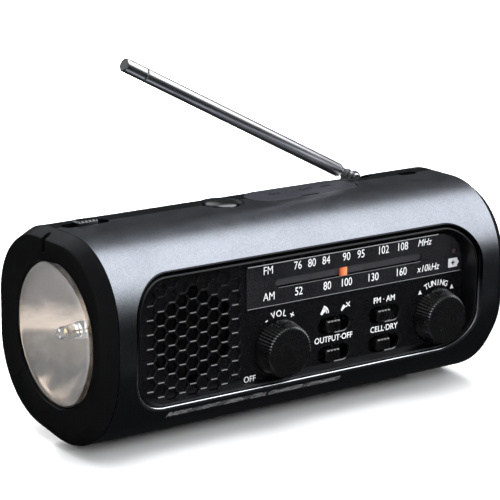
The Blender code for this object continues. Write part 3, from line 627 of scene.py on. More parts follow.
GUNMETAL = gunmetal()
# The recess rim's colour carries painted light: a highlight along its lower run and shade above.
LIT_AND_SHADED_RIM = rim_painted_light()
SHELL_BLACK = moulded(
    "shell_black", (0.0035, 0.0035, 0.0040), 0.36, grain=1300, depth=0.08, Specular_IOR_Level=0.22
)
PANEL_BLACK = moulded(
    "panel_black", (0.0036, 0.0036, 0.0044), 0.24, grain=1700, depth=0.04, Specular_IOR_Level=0.9, **COAT
)
RIM_BLACK = moulded(
    "rim_black", (0.005, 0.005, 0.006), 0.36, grain=900, depth=0.02, Specular_IOR_Level=0.3
)
KNOB_BLACK = moulded(
    "knob_black", (0.0032, 0.0032, 0.0036), 0.24, grain=1600, depth=0.05, Specular_IOR_Level=1.0, **COAT
)
CRANK_BLACK = moulded("crank_black", (0.010, 0.010, 0.011), 0.46, grain=1200, depth=0.14)
RUBBER = moulded("port_rubber", (0.021, 0.022, 0.028), 0.50, grain=2200, depth=0.20)
FOOT = moulded("foot_rubber", (0.011, 0.011, 0.012), 0.72, grain=700, depth=0.35)
ACETAL = moulded("acetal", (0.74, 0.73, 0.68), 0.38, grain=900, depth=0.05, mottle=0.05)
FERRITE = moulded("ferrite", (0.055, 0.050, 0.047), 0.62, grain=1900, depth=0.35, mottle=0.3)
SCALE_BACK = moulded("dial_back", (0.038, 0.036, 0.041), 0.5, grain=1500, depth=0.08)
LED_RED = moulded("led_red", (0.055, 0.028, 0.030), 0.22, grain=500, depth=0.03)
CHROME = metal("chrome", (0.72, 0.72, 0.74), 0.30, depth=0.012, spread=0.03)
STEEL = metal("steel", (0.56, 0.57, 0.59), 0.30, (1, 0.06, 1), depth=0.05, spread=0.08)
DARK_STEEL = metal("speaker_steel", (0.012, 0.012, 0.013), 0.5)
BRASS = metal("brass_contact", (0.80, 0.62, 0.32), 0.24)
REFLECTOR = mirrored()
LENS = clear("torch_lens_clear", (0.97, 0.975, 0.98), 0.02, IOR=1.46)
LED_CLEAR = clear("led_epoxy", (0.95, 0.955, 0.97), 0.03, IOR=1.52)
GLOSS = glossy_black()
ORANGE = pointer_orange()
WHITE_INK = printed("white_ink", (0.86, 0.87, 0.88))
GREY_INK = printed("grey_ink", (0.34, 0.34, 0.36))
PALE_INK = printed("pale_ink", (0.62, 0.62, 0.64))
DIM_INK = printed("dim_ink", (0.32, 0.32, 0.33))
BOARD = circuit("circuit_board", (0.012, 0.11, 0.045), (0.03, 0.22, 0.09))
BOARD_BLACK = circuit("control_board", (0.004, 0.004, 0.005), (0.007, 0.007, 0.008))
CELL_BLUE = cell_wrap("cell_wrap_blue", (0.03, 0.10, 0.24), (0.55, 0.56, 0.58))
CELL_DARK = cell_wrap("cell_wrap_green", (0.03, 0.17, 0.10), (0.62, 0.63, 0.60))
PAPER = fibrous()


# ---- body ---------------------------------------------------------------
def top_cutters():
    seat = TOP_Z - 1.6
    first = (
        rod(9.1, "Z", TOP_Z - 1.5, 90, BUTTON, 96),
        prism(stadium((SLIDER_X, PARTING_Y), 20.0, 6.0), "Z", 70, 90),
        prism(stadium((76.5, PARTING_Y), 9.0, 4.4), "Z", 70, 90),
        prism(stadium(FLAP, 52.1, 17.8, 24), "Z", seat, 90),
    )
    return first, (prism(stadium(FLAP, 48.5, 14.2, 24), "Z", 70, 90), rod(7.6, "Z", 70, 90, BUTTON, 72))


def recess(grow=0.0):
    low, high = (RECESS_X[0] - grow, RECESS_Z[0] - grow), (RECESS_X[1] + grow, RECESS_Z[1] + grow)
    return rounded_box(low, high, RECESS_R + grow, 20)


def front_shell():
    outline = side_section(False) + side_section(False, WALL)[::-1]
    shell = mesh_object("front_body", prism(outline, "X", -SEAM_X + SEAM_GAP, SEAM_X - SEAM_GAP))
    first, second = top_cutters()
    cut(shell, prism(recess(LIP), "Y", -50, -15), *first)
    cut(shell, *second)
    dress(shell, GUNMETAL, replaces=("front_shell",), angle=28)
    true_normals(shell)
    piece("front_rim", rim_ring(), LIT_AND_SHADED_RIM, angle=50)


def rim_ring():
    """The rim round the recess: the painted face rolls over into the recess's wall."""
    turns = [math.radians(90 * i / 7) for i in range(8)]
    path = [(LIP - LIP * math.sin(a), LIP - LIP * math.cos(a)) for a in turns]
    path += [(0.0, 3.4), (LIP + 0.02, 3.4), (LIP + 0.02, 0.6)]
    rings = []
    for out, down in path:
        points = offset(recess(), out)
        rings.append([(x, -side_y(z) + down, z) for x, z in points])
    rings.append(rings[0])
    bm = bmesh.new()
    strip(bm, rings)
    return weld(bm)


def rear_shell():
    shell = mesh_object("rear_body", prism(side_section(True), "X", -SEAM_X + SEAM_GAP, SEAM_X - SEAM_GAP))
    inner = side_section(True, WALL)
    inner = [(inner[0][0] - 5, inner[0][1]), *inner, (inner[-1][0] - 5, inner[-1][1])]
    cavity = mesh_object("cavity", prism(inner, "X", -HALF, HALF))
    cut(cavity, rod(60.2, "Y", 29.3, 60, CRANK, 96))
    cut(cavity, block((-HALF, 13.0, 75.6), (AERIAL.x, 60, 99)))
    cut(cavity, rod(11.2, "Z", 74.6, 99, (AERIAL.x, AERIAL.y), 64))
    modifier = shell.modifiers.new("cavity", "BOOLEAN")
    modifier.solver = "EXACT"
    modifier.object = cavity
    bake(shell)
    bpy.data.objects.remove(cavity)
    cut(shell, rod(58.0, "Y", 31.5, 60, CRANK, 128))
    cut(shell, block((-HALF - 5, 14.0, 77.8), (AERIAL.x, 60, 99)))
    cut(shell, rod(9.0, "Z", 76.8, 99, (AERIAL.x, AERIAL.y), 64))
    posts = [rod(4.0, "Y", 12, side_y(10) - 0.6, (x, SCREW_Z), 24) for x in SCREWS_X]
    cut(shell, *posts, operation="UNION")
    first, second = top_cutters()
    door = block((-81.3, 20, 15.7), (-32.7, 60, 62.3))
    seat = side_y(10) - 3.5
    screw = [(0, 5), (1.9, 5), (1.9, seat), (3.4, seat), (3.4, 60), (0, 60)]
    screws = [turned(screw, 24, "Y", (x, 0, SCREW_Z)) for x in SCREWS_X]
    cut(shell, *first, door, *screws)
    cut(shell, *second, rod(4.4, "Y", 25, 45, CRANK, 32), rod(3.4, "Z", 70, 85, (AERIAL.x, AERIAL.y), 24))
    dress(shell, SHELL_BLACK, replaces=("rear_shell",), angle=28)
    true_normals(shell)


def cap_rings(side):
    """Outlines from the seam, over the taper and the face's soft edge."""
    body, face = body_section(), face_section()
    path = ((0.0, 89.85), (0.02, 89.98), (0.90, 94.45), (0.97, 94.78), (1.03, 94.95), (1.10, 95.0))
    rings = []
    for share, x in path:
        blend = [(a[0] + (b[0] - a[0]) * share, a[1] + (b[1] - a[1]) * share) for a, b in zip(body, face)]
        rings.append([(side * x, y, z) for y, z in blend])
    return rings


def end_caps():
    rings = cap_rings(-1)
    last = rings[-1]
    spokes = [math.atan2(z - TORCH[2], y - TORCH[1]) for _, y, z in last]
    steps = ((28.6, -95.0), (28.1, -94.85), (27.85, -94.4), (27.8, -91.0), (34.0, -90.5))
    for radius, x in steps:
        rings.append([(x, TORCH[1] + radius * math.cos(a), TORCH[2] + radius * math.sin(a)) for a in spokes])
    rings.append([(-89.85, y * 0.93, 43 + (z - 43) * 0.93) for _, y, z in rings[0]])
    rings.append(rings[0])
    bm = bmesh.new()
    strip(bm, rings)
    cap = mesh_object("torch_cap", weld(bm))
    cut(cap, lanyard_groove())
    dress(cap, SHELL_BLACK, replaces=("left_end_cap",), angle=24)
    bm = bmesh.new()
    rows = strip(bm, cap_rings(1))
    bm.faces.new(rows[0])
    bm.faces.new(rows[-1])
    piece("plain_cap", weld(bm), SHELL_BLACK, replaces=("right_end_cap",), angle=24)


def lanyard_groove():
    """Cuts the groove across the torch cap's upper edge."""
    return prism(stadium((-97.0, PARTING_Y), 10.4, 2.6, 8), "Z", 73.5, 90.0)


# ---- front panel --------------------------------------------------------
def grille():
    """Columns of hexagons: open over the speaker, and shallow to the recess's edge."""
    pitch, centre = 5.448, 3.0
    open_cells, shallow = [], []
    for column in range(9):
        x = -70.26 + 4.718 * column
        ring = abs(column - 4)
        rows = range(7) if column in (0, 8) else (range(-1, 8) if column % 2 == 0 else range(8))
        for row in rows:
            along = row if column % 2 == 0 else row - 0.5
            z = 59.35 - pitch * along
            cell = circle(2.83 - 0.32, 6, (x, z))
            if ring <= 3 and abs(along - centre) <= 3 - ring / 2 + 0.01:
                open_cells.append(cell)
            else:
                shallow.append((cell, PANEL_Y + 0.9))
    return open_cells, shallow


def dial_outline(grow=0.0):
    x0, x1 = DIAL_X[0] - grow, DIAL_X[1] + grow
    z0, z1 = DIAL_Z[0] - grow, DIAL_Z[1] + grow
    return [(x0, z0), (x1, z0), *arc((x1 - 12.0, z1 - 12.0), 12.0, 0, 90, 16), (x0, z1)]


def front_panel():
    low, high = (RECESS_X[0] + 0.3, RECESS_Z[0] + 0.3), (RECESS_X[1] - 0.3, RECESS_Z[1] - 0.3)
    outer = rounded_box(low, high, RECESS_R - 0.3, 16)
    open_cells, shallow = grille()
    holes = open_cells + [stadium((x, z), 15.2, 6.3) for x, z in SWITCHES.values()]
    holes += [circle(3.4, 24, knob) for knob in (VOLUME, TUNING)]
    holes.append(dial_outline(0.25))
    bm = pierced(outer, holes, "Y", PANEL_Y, PANEL_Y + 2.0, 0.3, shallow)
    piece("front_panel_face", bm, PANEL_BLACK, replaces=("front_panel",), angle=35)
    path = ((0.0, 0.0), (0.0, 1.0), (0.25, 1.3), (0.65, 1.3), (0.9, 1.0), (0.9, 0.0))
    rings = []
    for inwards, top in path:
        points = offset(outer, -inwards)
        rings.append([(x, -side_y(z) + 2.3 - top * 0.9 if top else PANEL_Y + 0.02, z) for x, z in points])
    bm = bmesh.new()
    strip(bm, rings + [rings[0]])
    piece("panel_rim", weld(bm), RIM_BLACK, angle=40)


def dial():
    slot = stadium(((SLOT_X[0] + SLOT_X[1]) / 2, SLOT_Z), SLOT_X[1] - SLOT_X[0], SLOT_H)
    bm = pierced(dial_outline(), [slot], "Y", DIAL_Y, PANEL_Y + 2.0, 0.12)
    piece("dial_lens", bm, GLOSS, replaces=("dial_window",))
    strip_box = rounded_box((SLOT_X[0] + 0.1, SLOT_Z - 1.2), (SLOT_X[1] - 0.1, SLOT_Z + 1.6), 1.3)
    piece("dial_strip", prism(strip_box, "Y", PANEL_Y + 0.5, PANEL_Y + 0.9), SCALE_BACK)
    tip = rounded_box((16.2, 55.4), (19.65, 58.6), 0.2, 3)
    needle = prism(tip, "Y", DIAL_Y + 0.05, PANEL_Y + 0.35)
    carriage = prism(rounded_box((13.8, 48.8), (21.8, 55.7), 0.5, 4), "Y", -24.8, -21.3)
    stem = block((17.2, PANEL_Y + 0.2, 55.4), (18.6, -24.6, 55.7))
    piece("dial_carriage", merge(carriage, stem), KNOB_BLACK, "pointer")
    piece("dial_needle", needle, ORANGE, "pointer", ("dial_pointer",))
    lens = [(0, -29.45), (0.75, -29.38), (1.05, -29.2), (1.1, -29.0), (1.1, -24.0), (0, -24.0)]
    bm = turned(lens, 32, "Y", (73.4, 0, 57.2))
    piece("charge_lamp", bm, LED_RED, replaces=("charge_led",))


def knob_wave(angle, radius):
    """Fine ribs down the knob's side."""
    if radius < 9.2:
        return radius
    return radius + 0.27 * math.cos(52 * angle)


def knobs():
    back, face = PANEL_Y - 0.3, PANEL_Y - 7.7
    profile = [
        (0, face), (8.8, face), (9.25, face + 0.05), (9.75, face + 0.5), (9.95, face + 1.0),
        (10.9, back - 0.9), (11.0, back - 0.5), (11.0, back), (3.0, back), (3.0, -17.5), (0, -17.5),
    ]
    for body, (x, z) in (("volume", VOLUME), ("tuning", TUNING)):
        bm = turned(profile, 312, "Y", (x, 0, z), wave=knob_wave)
        piece(f"{body}_control", bm, KNOB_BLACK, body, (f"{body}_knob",), angle=40)


def switches():
    for name, (x, z) in SWITCHES.items():
        mid = x - 1.7
        body = f"{name[:-7]}_slider"
        outline = rounded_box((mid - 3.5, z - 2.3), (mid + 3.5, z + 2.3), 0.9, 6)
        key = prism(outline, "Y", PANEL_Y - 2.3, -26.0, round_by=0.45)
        plate = prism(rounded_box((mid - 6, z - 2.3), (mid + 6, z + 2.3), 0.3, 2), "Y", -26.4, -25.2)
        tongue = block((mid - 1.5, -25.3, z - 2.2), (mid + 1.5, -23.8, z + 2.2))
        obj = mesh_object(f"{name}_key", key)
        lines = [mid + i * 1.5 for i in (-1, 0, 1)]
        grooves = [rounded_box((u - 0.25, z - 3), (u + 0.25, z + 3), 0.1, 2) for u in lines]
        cut(obj, *[prism(groove, "Y", -40, -30.75) for groove in grooves])
        dress(obj, KNOB_BLACK, body, (name,), angle=40)
        piece(f"{name}_plate", merge(plate, tongue), KNOB_BLACK, body)


# ---- print --------------------------------------------------------------
def lettering(text, size, shear=0.0, weight=0.0, spacing=1.0):
    """A flat outline mesh of some text, centred, in millimetres, as (x, z) points and faces."""
    curve = bpy.data.curves.new("text", "FONT")
    curve.body = text
    curve.size = size
    curve.shear = shear
    curve.offset = weight
    curve.space_character = spacing
    curve.align_x = "CENTER"
    curve.align_y = "CENTER"
    curve.resolution_u = 6
    holder = bpy.data.objects.new("text", curve)
    bpy.context.scene.collection.objects.link(holder)
    mesh = bpy.data.meshes.new_from_object(holder)
    bpy.data.objects.remove(holder)
    bm = bmesh.new()
    bm.from_mesh(mesh)
    bpy.data.meshes.remove(mesh)
    bmesh.ops.remove_doubles(bm, verts=bm.verts, dist=1e-4)
    return bm


def laid(bm, at, turn=0.0, squeeze=1.0, y=PANEL_Y - INK):
    """Lettering laid on the panel's face, facing the front."""
    cos, sin = math.cos(turn), math.sin(turn)
    for v in bm.verts:
        u, w = v.co.x * squeeze, v.co.y
        v.co = Vector((at[0] + u * cos - w * sin, y, at[1] + u * sin + w * cos))
    return bm


def wrapped(text, size, centre, radius, middle, spread):
    """Letters set round an arc above a knob. middle and spread are in degrees."""
    count = len(text)
    made = []
    for i, letter in enumerate(text):
        a = math.radians(middle - spread * (i - (count - 1) / 2))
        at = (centre[0] + radius * math.cos(a), centre[1] + radius * math.sin(a))
        made.append(laid(lettering(letter, size, weight=0.05), at, a - math.pi / 2, 0.95))
    return made


def shape(points, y=PANEL_Y - INK):
    bm = bmesh.new()
    fill(bm, [points], "Y", y)
    return bm


def horn(x, z, crossed):
    """A horn with sound waves, and a cross beside it where the alarm is off."""
    size = 0.72 if crossed else 1.0
    cone = [(-1.9, -1.0), (-1.1, -1.55), (1.5, 0.6), (-0.2, 1.9)]
    made = [shape([(x + u * size, z + w * size) for u, w in cone])]
    for r in () if crossed else (2.3, 3.2):
        outer, inner = (arc((x - 1.0, z - 1.0), radius, -2, 78, 8) for radius in (r, r - 0.42))
        made.append(shape(outer + inner[::-1]))
    if crossed:
        for turn in (45, -45):
            a = math.radians(turn)
            cos, sin = math.cos(a), math.sin(a)
            bar = [(-1.25, -0.22), (1.25, -0.22), (1.25, 0.22), (-1.25, 0.22)]
            made.append(shape([(x + 2.1 + u * cos - w * sin, z + 1.1 + u * sin + w * cos) for u, w in bar]))
    return made


def battery_mark(x, z):
    body = rounded_box((x - 2.8, z - 1.85), (x + 1.9, z + 1.85), 0.25, 3)
    bm = bmesh.new()
    fill(bm, [body, [(x - 0.3 + u, z + w) for u, w in plus_outline(0.95, 0.28)]], "Y", DIAL_Y - INK)
    tip = shape([(x + 1.9, z - 1.2), (x + 2.8, z), (x + 1.9, z + 1.2)], DIAL_Y - INK)
    return [bm, tip]


def plus_outline(reach, half):
    return [
        (half, half), (reach, half), (reach, -half), (half, -half), (half, -reach), (-half, -reach),
        (-half, -half), (-reach, -half), (-reach, half), (-half, half), (-half, reach), (half, reach),
    ]


def print_panel():
    on_dial = DIAL_Y - INK
    marks = []
    rows = (
        (62.6, (("FM", -17.9), ("76", -4.1), ("80", 2.6), ("84", 9.4), ("90", 19.2), ("95", 26.3),
                ("102", 37.3), ("108", 46.9))),
        (52.4, (("AM", -17.4), ("52", -3.5), ("80", 10.1), ("100", 19.3), ("130", 32.4), ("160", 46.5))),
    )
    for z, words in rows:
        for word, x in words:
            heavy = 0.0 if word[0].isdigit() else -0.02
            marks.append(laid(lettering(word, 4.5, weight=heavy), (x, z), squeeze=0.86, y=on_dial))
    marks.append(laid(lettering("MHz", 3.9, shear=0.25), (58.0, 62.7), squeeze=0.92, y=on_dial))
    marks.append(laid(lettering("x10kHz", 3.9, shear=0.2), (60.2, 52.1), squeeze=0.92, y=on_dial))
    low, high = (DIAL_X[0] + 0.3, DIAL_Z[0] + 0.3), (DIAL_X[1] - 12.3, DIAL_Z[1] - 0.4)
    runs = ((high[0], high[1], 0.34), (DIAL_X[1] - 0.3, low[1], 0.16))
    lines = [shape([(low[0], z), (x, z), (x, z + w), (low[0], z + w)], on_dial) for x, z, w in runs]
    piece("dial_lines", merge(*lines), GREY_INK)
    piece("battery_print", merge(*battery_mark(73.4, 52.4)), PALE_INK)
    piece("dial_print", merge(*marks), WHITE_INK)
    marks = wrapped("VOL", 3.5, VOLUME, 13.3, 90, 11.5)
    marks += wrapped("-", 4.6, VOLUME, 13.0, 117, 0) + wrapped("+", 4.2, VOLUME, 13.3, 62.5, 0)
    marks += wrapped("TUNING", 3.2, TUNING, 13.3, 90, 8.8)
    for side in (-1, 1):
        x, z = TUNING[0] + side * 8.2, 42.5
        marks.append(shape([(x - 0.95, z - 0.9), (x + 0.95, z - 0.9), (x, z + 1.0)]))
    marks.append(laid(lettering("OFF", 3.35, weight=0.03), (-25.8, 21.35), squeeze=0.95))
    marks += horn(9.2, 42.5, False) + horn(18.6, 42.3, True)
    for text, x, z in (("FM · AM", 38.7, 42.5), ("OUTPUT·OFF", 13.9, 30.8), ("CELL·DRY", 38.8, 30.8)):
        marks.append(laid(lettering(text, 3.3, weight=0.04), (x, z), squeeze=0.94))
    piece("panel_print", merge(*marks), WHITE_INK)
    line = lettering("RADIO / LIGHT / SIREN / CELL CHARGER / DYNAMO", 2.9, shear=0.3)
    width = max(v.co.x for v in line.verts) - min(v.co.x for v in line.verts)
    for v in line.verts:
        x, z = -24.0 + v.co.x * 80 / width, 14.6 + v.co.y
        v.co = Vector((x, -side_y(z) - INK, z))
    piece("shell_print", line, DIM_INK)


# ---- top ----------------------------------------------------------------
def top_fittings():
    low = INNER_TOP - 3.2
    dome = [(6.6 * math.sin(a), TOP_Z - 0.75 + 2.0 * math.cos(a)) for a in quarter_turn()]
    profile = [
        *dome, (6.6, low + 2.2), (8.3, low + 2.2), (8.3, low + 1.0), (2.0, low + 1.0), (2.0, low), (0, low)
    ]
    bm = turned(profile, 72, "Z", (*BUTTON, 0))
    piece("siren_button", bm, KNOB_BLACK, "button", ("top_button",), angle=40)
    dish = [
        (7.2, TOP_Z - 1.4), (8.95, TOP_Z - 1.4), (8.95, TOP_Z - 0.1), (8.7, TOP_Z), (8.3, TOP_Z - 0.1),
        (7.2, TOP_Z - 0.9),
    ]
    bm = turned(dish, 96, "Z", (*BUTTON, 0), ring=True)
    piece("button_dish", bm, RIM_BLACK, angle=40)
    x, y = SLIDER_X, PARTING_Y
    outline = rounded_box((x - 4.5, y - 2.6), (x + 4.5, y + 2.6), 0.8, 6)
    key = prism(outline, "Z", TOP_Z + 1.6, INNER_TOP - 0.5, round_by=0.6)
    foot = block((x - 8.5, y - 2.6, INNER_TOP - 1.6), (x + 8.5, y + 2.6, INNER_TOP - 0.4))
    slider = mesh_object("lamp_slider_key", key)
    lines = [x + i * 1.6 for i in (-2, -1, 0, 1, 2)]
    cut(slider, *[block((u - 0.3, y - 9, TOP_Z + 1.1), (u + 0.3, y + 9, 90)) for u in lines])
    dress(slider, KNOB_BLACK, "lamp_slider", ("light_switch",), angle=40)
    piece("lamp_slider_foot", foot, KNOB_BLACK, "lamp_slider")
    flap()
    bar = [(0, 68.5), (1.3, 68.5), (1.3, 84.5), (0, 84.5)]
    bm = turned(bar, 32, "X", (0, PARTING_Y, INNER_TOP - 1.8))
    piece("strap_loop", bm, CHROME, replaces=("strap_bar",))


def flap():
    """The rubber cover over the sockets, with raised marks and a finger notch."""
    top = TOP_Z - 0.05
    outline = stadium(FLAP, 51.5, 17.2, 24)
    cover = mesh_object("socket_cover", prism(outline, "Z", top, top - 1.2, round_by=0.3))
    cut(cover, prism(stadium((20.9, -4.1), 9.0, 2.6), "Z", top - 0.75, 90))
    dress(cover, RUBBER, "port_flap", ("port_cover",), angle=40)
    marks = []
    for x, kind in ((10.6, 0), (25.2, 1), (35.6, 2)):
        outlines = [[circle(r, 20, (x - 1.9, 5.2)) for r in (1.15, 0.65)]]
        for bar in range(2 + kind % 2):
            left, low = x + bar * 1.3, 4.0 + 0.4 * bar
            outlines.append([[(left, low), (left + 0.55, low), (left + 0.55, 6.4), (left, 6.4)]])
        for loops in outlines:
            bm = bmesh.new()
            fill(bm, loops, "Z", top + 0.02)
            marks.append(bm)
    piece("socket_marks", merge(*marks), KNOB_BLACK, "port_flap")


# ---- torch --------------------------------------------------------------
def torch():
    lens = [
        (0, -94.55), (12, -94.53), (22, -94.42), (26.6, -94.2), (27.3, -93.9), (27.4, -93.3), (27.2, -93.15),
        (0, -93.15),
    ]
    piece("torch_window", turned(lens, 128, "X", TORCH), LENS, replaces=("torch_lens",))
    rim, vertex, hole, front = 26.2, -76.5, 3.6, -92.9
    focal = rim * rim / (4 * (vertex - front))
    radii = [rim + (hole - rim) * i / 24 for i in range(25)]
    inside = [(r, vertex - r * r / (4 * focal)) for r in radii]
    outside = [(r, x + 1.2) for r, x in reversed(inside)]
    profile = [(27.4, front), (26.5, front - 0.05), *inside, *outside, (27.4, front + 1.2)]
    bm = turned(profile, 128, "X", TORCH, ring=True)
    piece("torch_bowl", bm, REFLECTOR, replaces=("torch_reflector",), angle=45)
    dome = [(2.5 * math.sin(a), -90.1 - 2.5 * math.cos(a)) for a in quarter_turn()]
    led = [*dome, (2.5, -85.3), (2.9, -85.2), (2.9, -84.3), (0, -84.3)]
    bm = turned(led, 48, "X", TORCH)
    piece("torch_lamp", bm, LED_CLEAR, replaces=("torch_led",), angle=40)
    die = [
        (0, -88.6), (0.55, -88.6), (1.1, -89.3), (1.25, -89.3), (0.9, -87.9), (0.35, -87.6), (0.3, -84.5),
        (0, -84.5),
    ]
    piece("torch_die", turned(die, 24, "X", (0, TORCH[1] - 0.35, TORCH[2])), BRASS)
    holder = [(0, -84.2), (3.0, -84.2), (3.2, -84.0), (3.2, -75.6), (6.5, -75.0), (6.5, -73.0), (0, -73.0)]
    piece("torch_socket", turned(holder, 48, "X", TORCH), ACETAL, replaces=("led_holder",))


# ---- rear ---------------------------------------------------------------
def battery_door():
    steps = 40
    heights = [16.0 + 46.0 * i / steps for i in range(steps + 1)]
    outline = [(side_y(z), z) for z in heights] + [(side_y(z, WALL), z) for z in reversed(heights)]
    door = mesh_object("battery_cover", prism(outline, "X", -81.0, -33.0, round_by=0.25))
    cut(door, *[block((-66, 37.7, z), (-48, 50, z + 0.9)) for z in (33.0, 35.0, 37.0, 39.0)])
    cut(door, prism(rounded_box((-64.5, 55.5), (-49.5, 59.5), 1.5, 6), "Y", 36.6, 50.0))
    dress(door, SHELL_BLACK, "battery_lid", ("battery_door",), angle=30)


def screws():
    head = side_y(10) - 3.2
    profile = [
        (0, 6), (1.5, 6), (1.5, head), (3.0, head), (3.0, head + 1.1), (2.4, head + 1.8), (0, head + 2.0)
    ]
    for number, x in enumerate(SCREWS_X, 1):
        obj = mesh_object(f"rear_screw_{number}", turned(profile, 40, "Y", (x, 0, SCREW_Z)))
        cross = [(x + u, SCREW_Z + w) for u, w in plus_outline(1.6, 0.35)]
        cut(obj, prism(cross, "Y", head + 0.9, 60))
        dress(obj, STEEL, replaces=(f"case_screw_{number}",), angle=35)


def crank():
    x, z = CRANK
    hub = [
        (0, 22.0), (3.0, 22.0), (3.0, 27.6), (4.0, 27.6), (4.0, 32.0), (10.5, 32.0), (10.5, 37.6),
        (10.2, 38.4), (9.4, 38.9), (3.2, 38.9), (2.7, 38.2), (0, 38.2),
    ]
    bm = turned(hub, 72, "Y", (x, 0, z))
    piece("crank_centre", bm, CRANK_BLACK, "crank", ("crank_hub",), angle=40)
    middle = (x + FOLD_X) / 2
    outline = stadium((middle, z), 62.0, 16.0, 32)
    slot = rounded_box((FOLD_X - 4.2, z - 4.9), (FOLD_X + 27.6, z + 4.9), 1.2, 5)
    arm = mesh_object("crank_lever", prism(outline, "Y", 39.0, 32.2, [slot], round_by=0.8))
    cut(arm, rod(10.8, "Y", 30, 45, CRANK, 72))
    cut(arm, rod(1.5, "Z", 30, 60, (FOLD_X, GRIP_Y), 24))
    dress(arm, CRANK_BLACK, "crank", ("crank_arm",), angle=35)
    spindle = merge(
        rod(3.0, "Z", z - 4.5, z + 4.5, (FOLD_X, GRIP_Y)),
        rod(1.2, "Z", z - 7.4, z + 7.4, (FOLD_X, GRIP_Y), 24),
        rod(1.7, "X", FOLD_X + 1, FOLD_X + 26.6, (GRIP_Y, z), 32),
        rod(2.8, "X", FOLD_X + 25.8, FOLD_X + 26.8, (GRIP_Y, z), 32),
    )
    piece("grip_pin", spindle, STEEL, "grip_hinge", ("grip_spindle",), angle=35)
    low = FOLD_X + 4.3
    barrel = [(2.05, low), (3.6, low), (4.1, low + 0.5)]
    for i in range(9):
        at = low + 2.2 + i * 2.05
        barrel += [(4.25, at - 0.7), (4.25, at), (3.95, at + 0.25), (3.95, at + 0.6), (4.25, at + 0.85)]
    barrel += [(4.1, low + 20.5), (3.6, low + 21.0), (2.05, low + 21.0)]
    bm = turned(barrel, 56, "X", (0, GRIP_Y, z), ring=True)
    piece("grip_sleeve", bm, CRANK_BLACK, "grip", ("crank_grip",), angle=40)


# ---- antenna ------------------------------------------------------------
def antenna():
    x, y, z = AERIAL
    floor = 76.8
    base = [
        (0, 71.0), (5.0, 71.0), (5.0, 72.2), (3.0, 72.2), (3.0, floor + 0.3), (5.3, floor + 0.3),
        (5.6, floor + 0.5), (5.6, z - 2.8), (5.3, z - 2.6), (0, z - 2.6),
    ]
    pieces = [turned(base, 64, "Z", (x, y, 0))]
    for low, high in ((1.7, 3.3), (-3.3, -1.7)):
        ear = [(x - 2.6, z - 3.0), (x + 2.6, z - 3.0), *arc((x, z), 2.6, 0, 180, 24)]
        pieces.append(prism(ear, "Y", y + low, y + high, [circle(1.15, 24, (x, z))]))
    piece("aerial_base", merge(*pieces), CHROME, "aerial_swivel", ("antenna_base",), angle=35)
    half = [(0, -4.2), (1.4, -4.2), (1.8, -3.9), (1.8, -3.6), (0.85, -3.6)]
    pin = turned(half + [(r, -y) for r, y in reversed(half)], 32, "Y", AERIAL)
    piece("aerial_pin", pin, CHROME, "aerial_swivel", ("antenna_pin",), angle=35)
    lean = Matrix.Translation(AERIAL) @ Matrix.Rotation(-(math.pi - AERIAL_ANGLE), 4, "Y")
    end = AERIAL_END - TIP_L
    knuckle = turned([(1.15, -1.4), (2.1, -1.4), (2.1, 1.4), (1.15, 1.4)], 40, "Y", ring=True)
    tongue = prism([(1.6, -1.4), (7.4, -1.9), (7.4, 1.9), (1.6, 1.4)], "Y", -1.3, 1.3)
    tube = [
        (0, 6.0), (1.9, 6.0), (2.5, 6.5), (2.8, 7.2), (2.8, end - 0.85), (2.65, end - 0.7),
        (2.4, end - 0.7), (2.4, 9.0), (0, 9.0),
    ]
    first = merge(knuckle, tongue, turned(tube, 64, "X"))
    sections = [("aerial_tube_1", first, "mast_1", "antenna_section_1")]
    for number, outer, bore, low, high in ((2, 2.15, 1.85, 12.0, end - 0.9), (3, 1.6, 1.3, 15.0, end - 1.1)):
        profile = [(bore, low), (outer, low), (outer, high - 0.15), (outer - 0.12, high), (bore, high)]
        bm = turned(profile, 48, "X", ring=True)
        sections.append((f"aerial_tube_{number}", bm, f"mast_{number}", f"antenna_section_{number}"))
    tip = [
        (0, 18), (1.0, 18), (1.0, end), (2.6, end), (2.8, end + 0.2), (2.8, AERIAL_END - 0.45),
        (2.45, AERIAL_END), (0, AERIAL_END),
    ]
    sections.append(("aerial_tip", turned(tip, 64, "X"), "mast_4", "antenna_section_4"))
    for name, bm, body, node in sections:
        bmesh.ops.transform(bm, verts=bm.verts, matrix=lean)
        piece(name, bm, CHROME, body, (node,), angle=35)


# ---- foot and carried-over pieces ---------------------------------------
def foot():
    steps = 24
    across = [-3.0 + 29.0 * i / steps for i in range(steps + 1)]
    outline = [(-3.0, 0), (26.0, 0)] + [(y, edge_z(y, 0, False) - 0.3) for y in reversed(across)]
    pad = mesh_object("base_foot", prism(outline, "X", -70.0, 70.0, round_by=0.4))
    dress(pad, FOOT, replaces=("base_pad",), angle=30)


def carried_over():
    """CAD nodes whose shape stays get a worked material."""
    finishes = {
        BOARD: ("main_board",),
        BOARD_BLACK: ("control_board",),
        FERRITE: ("ferrite_rod", "dynamo_rotor"),
        CELL_DARK: ("rechargeable_cell",),
        CELL_BLUE: ("dry_cell_1", "dry_cell_2", "dry_cell_3"),
        ACETAL: ("crank_gear", "idler_gear", "tuning_drum", "tuning_capacitor"),
        STEEL: ("usb_port", "volume_pot", "button_switch", "idler_axle", "dynamo_housing"),
        DARK_STEEL: ("speaker_frame",),
        PANEL_BLACK: ("dc_jack", "earphone_jack"),
        SCALE_BACK: ("dial_scale",),
        PAPER: ("speaker_cone",),
    }
    for material, names in finishes.items():
        for name in names:
            materials = NODES[name].data.materials
            materials.clear()
            materials.append(material)


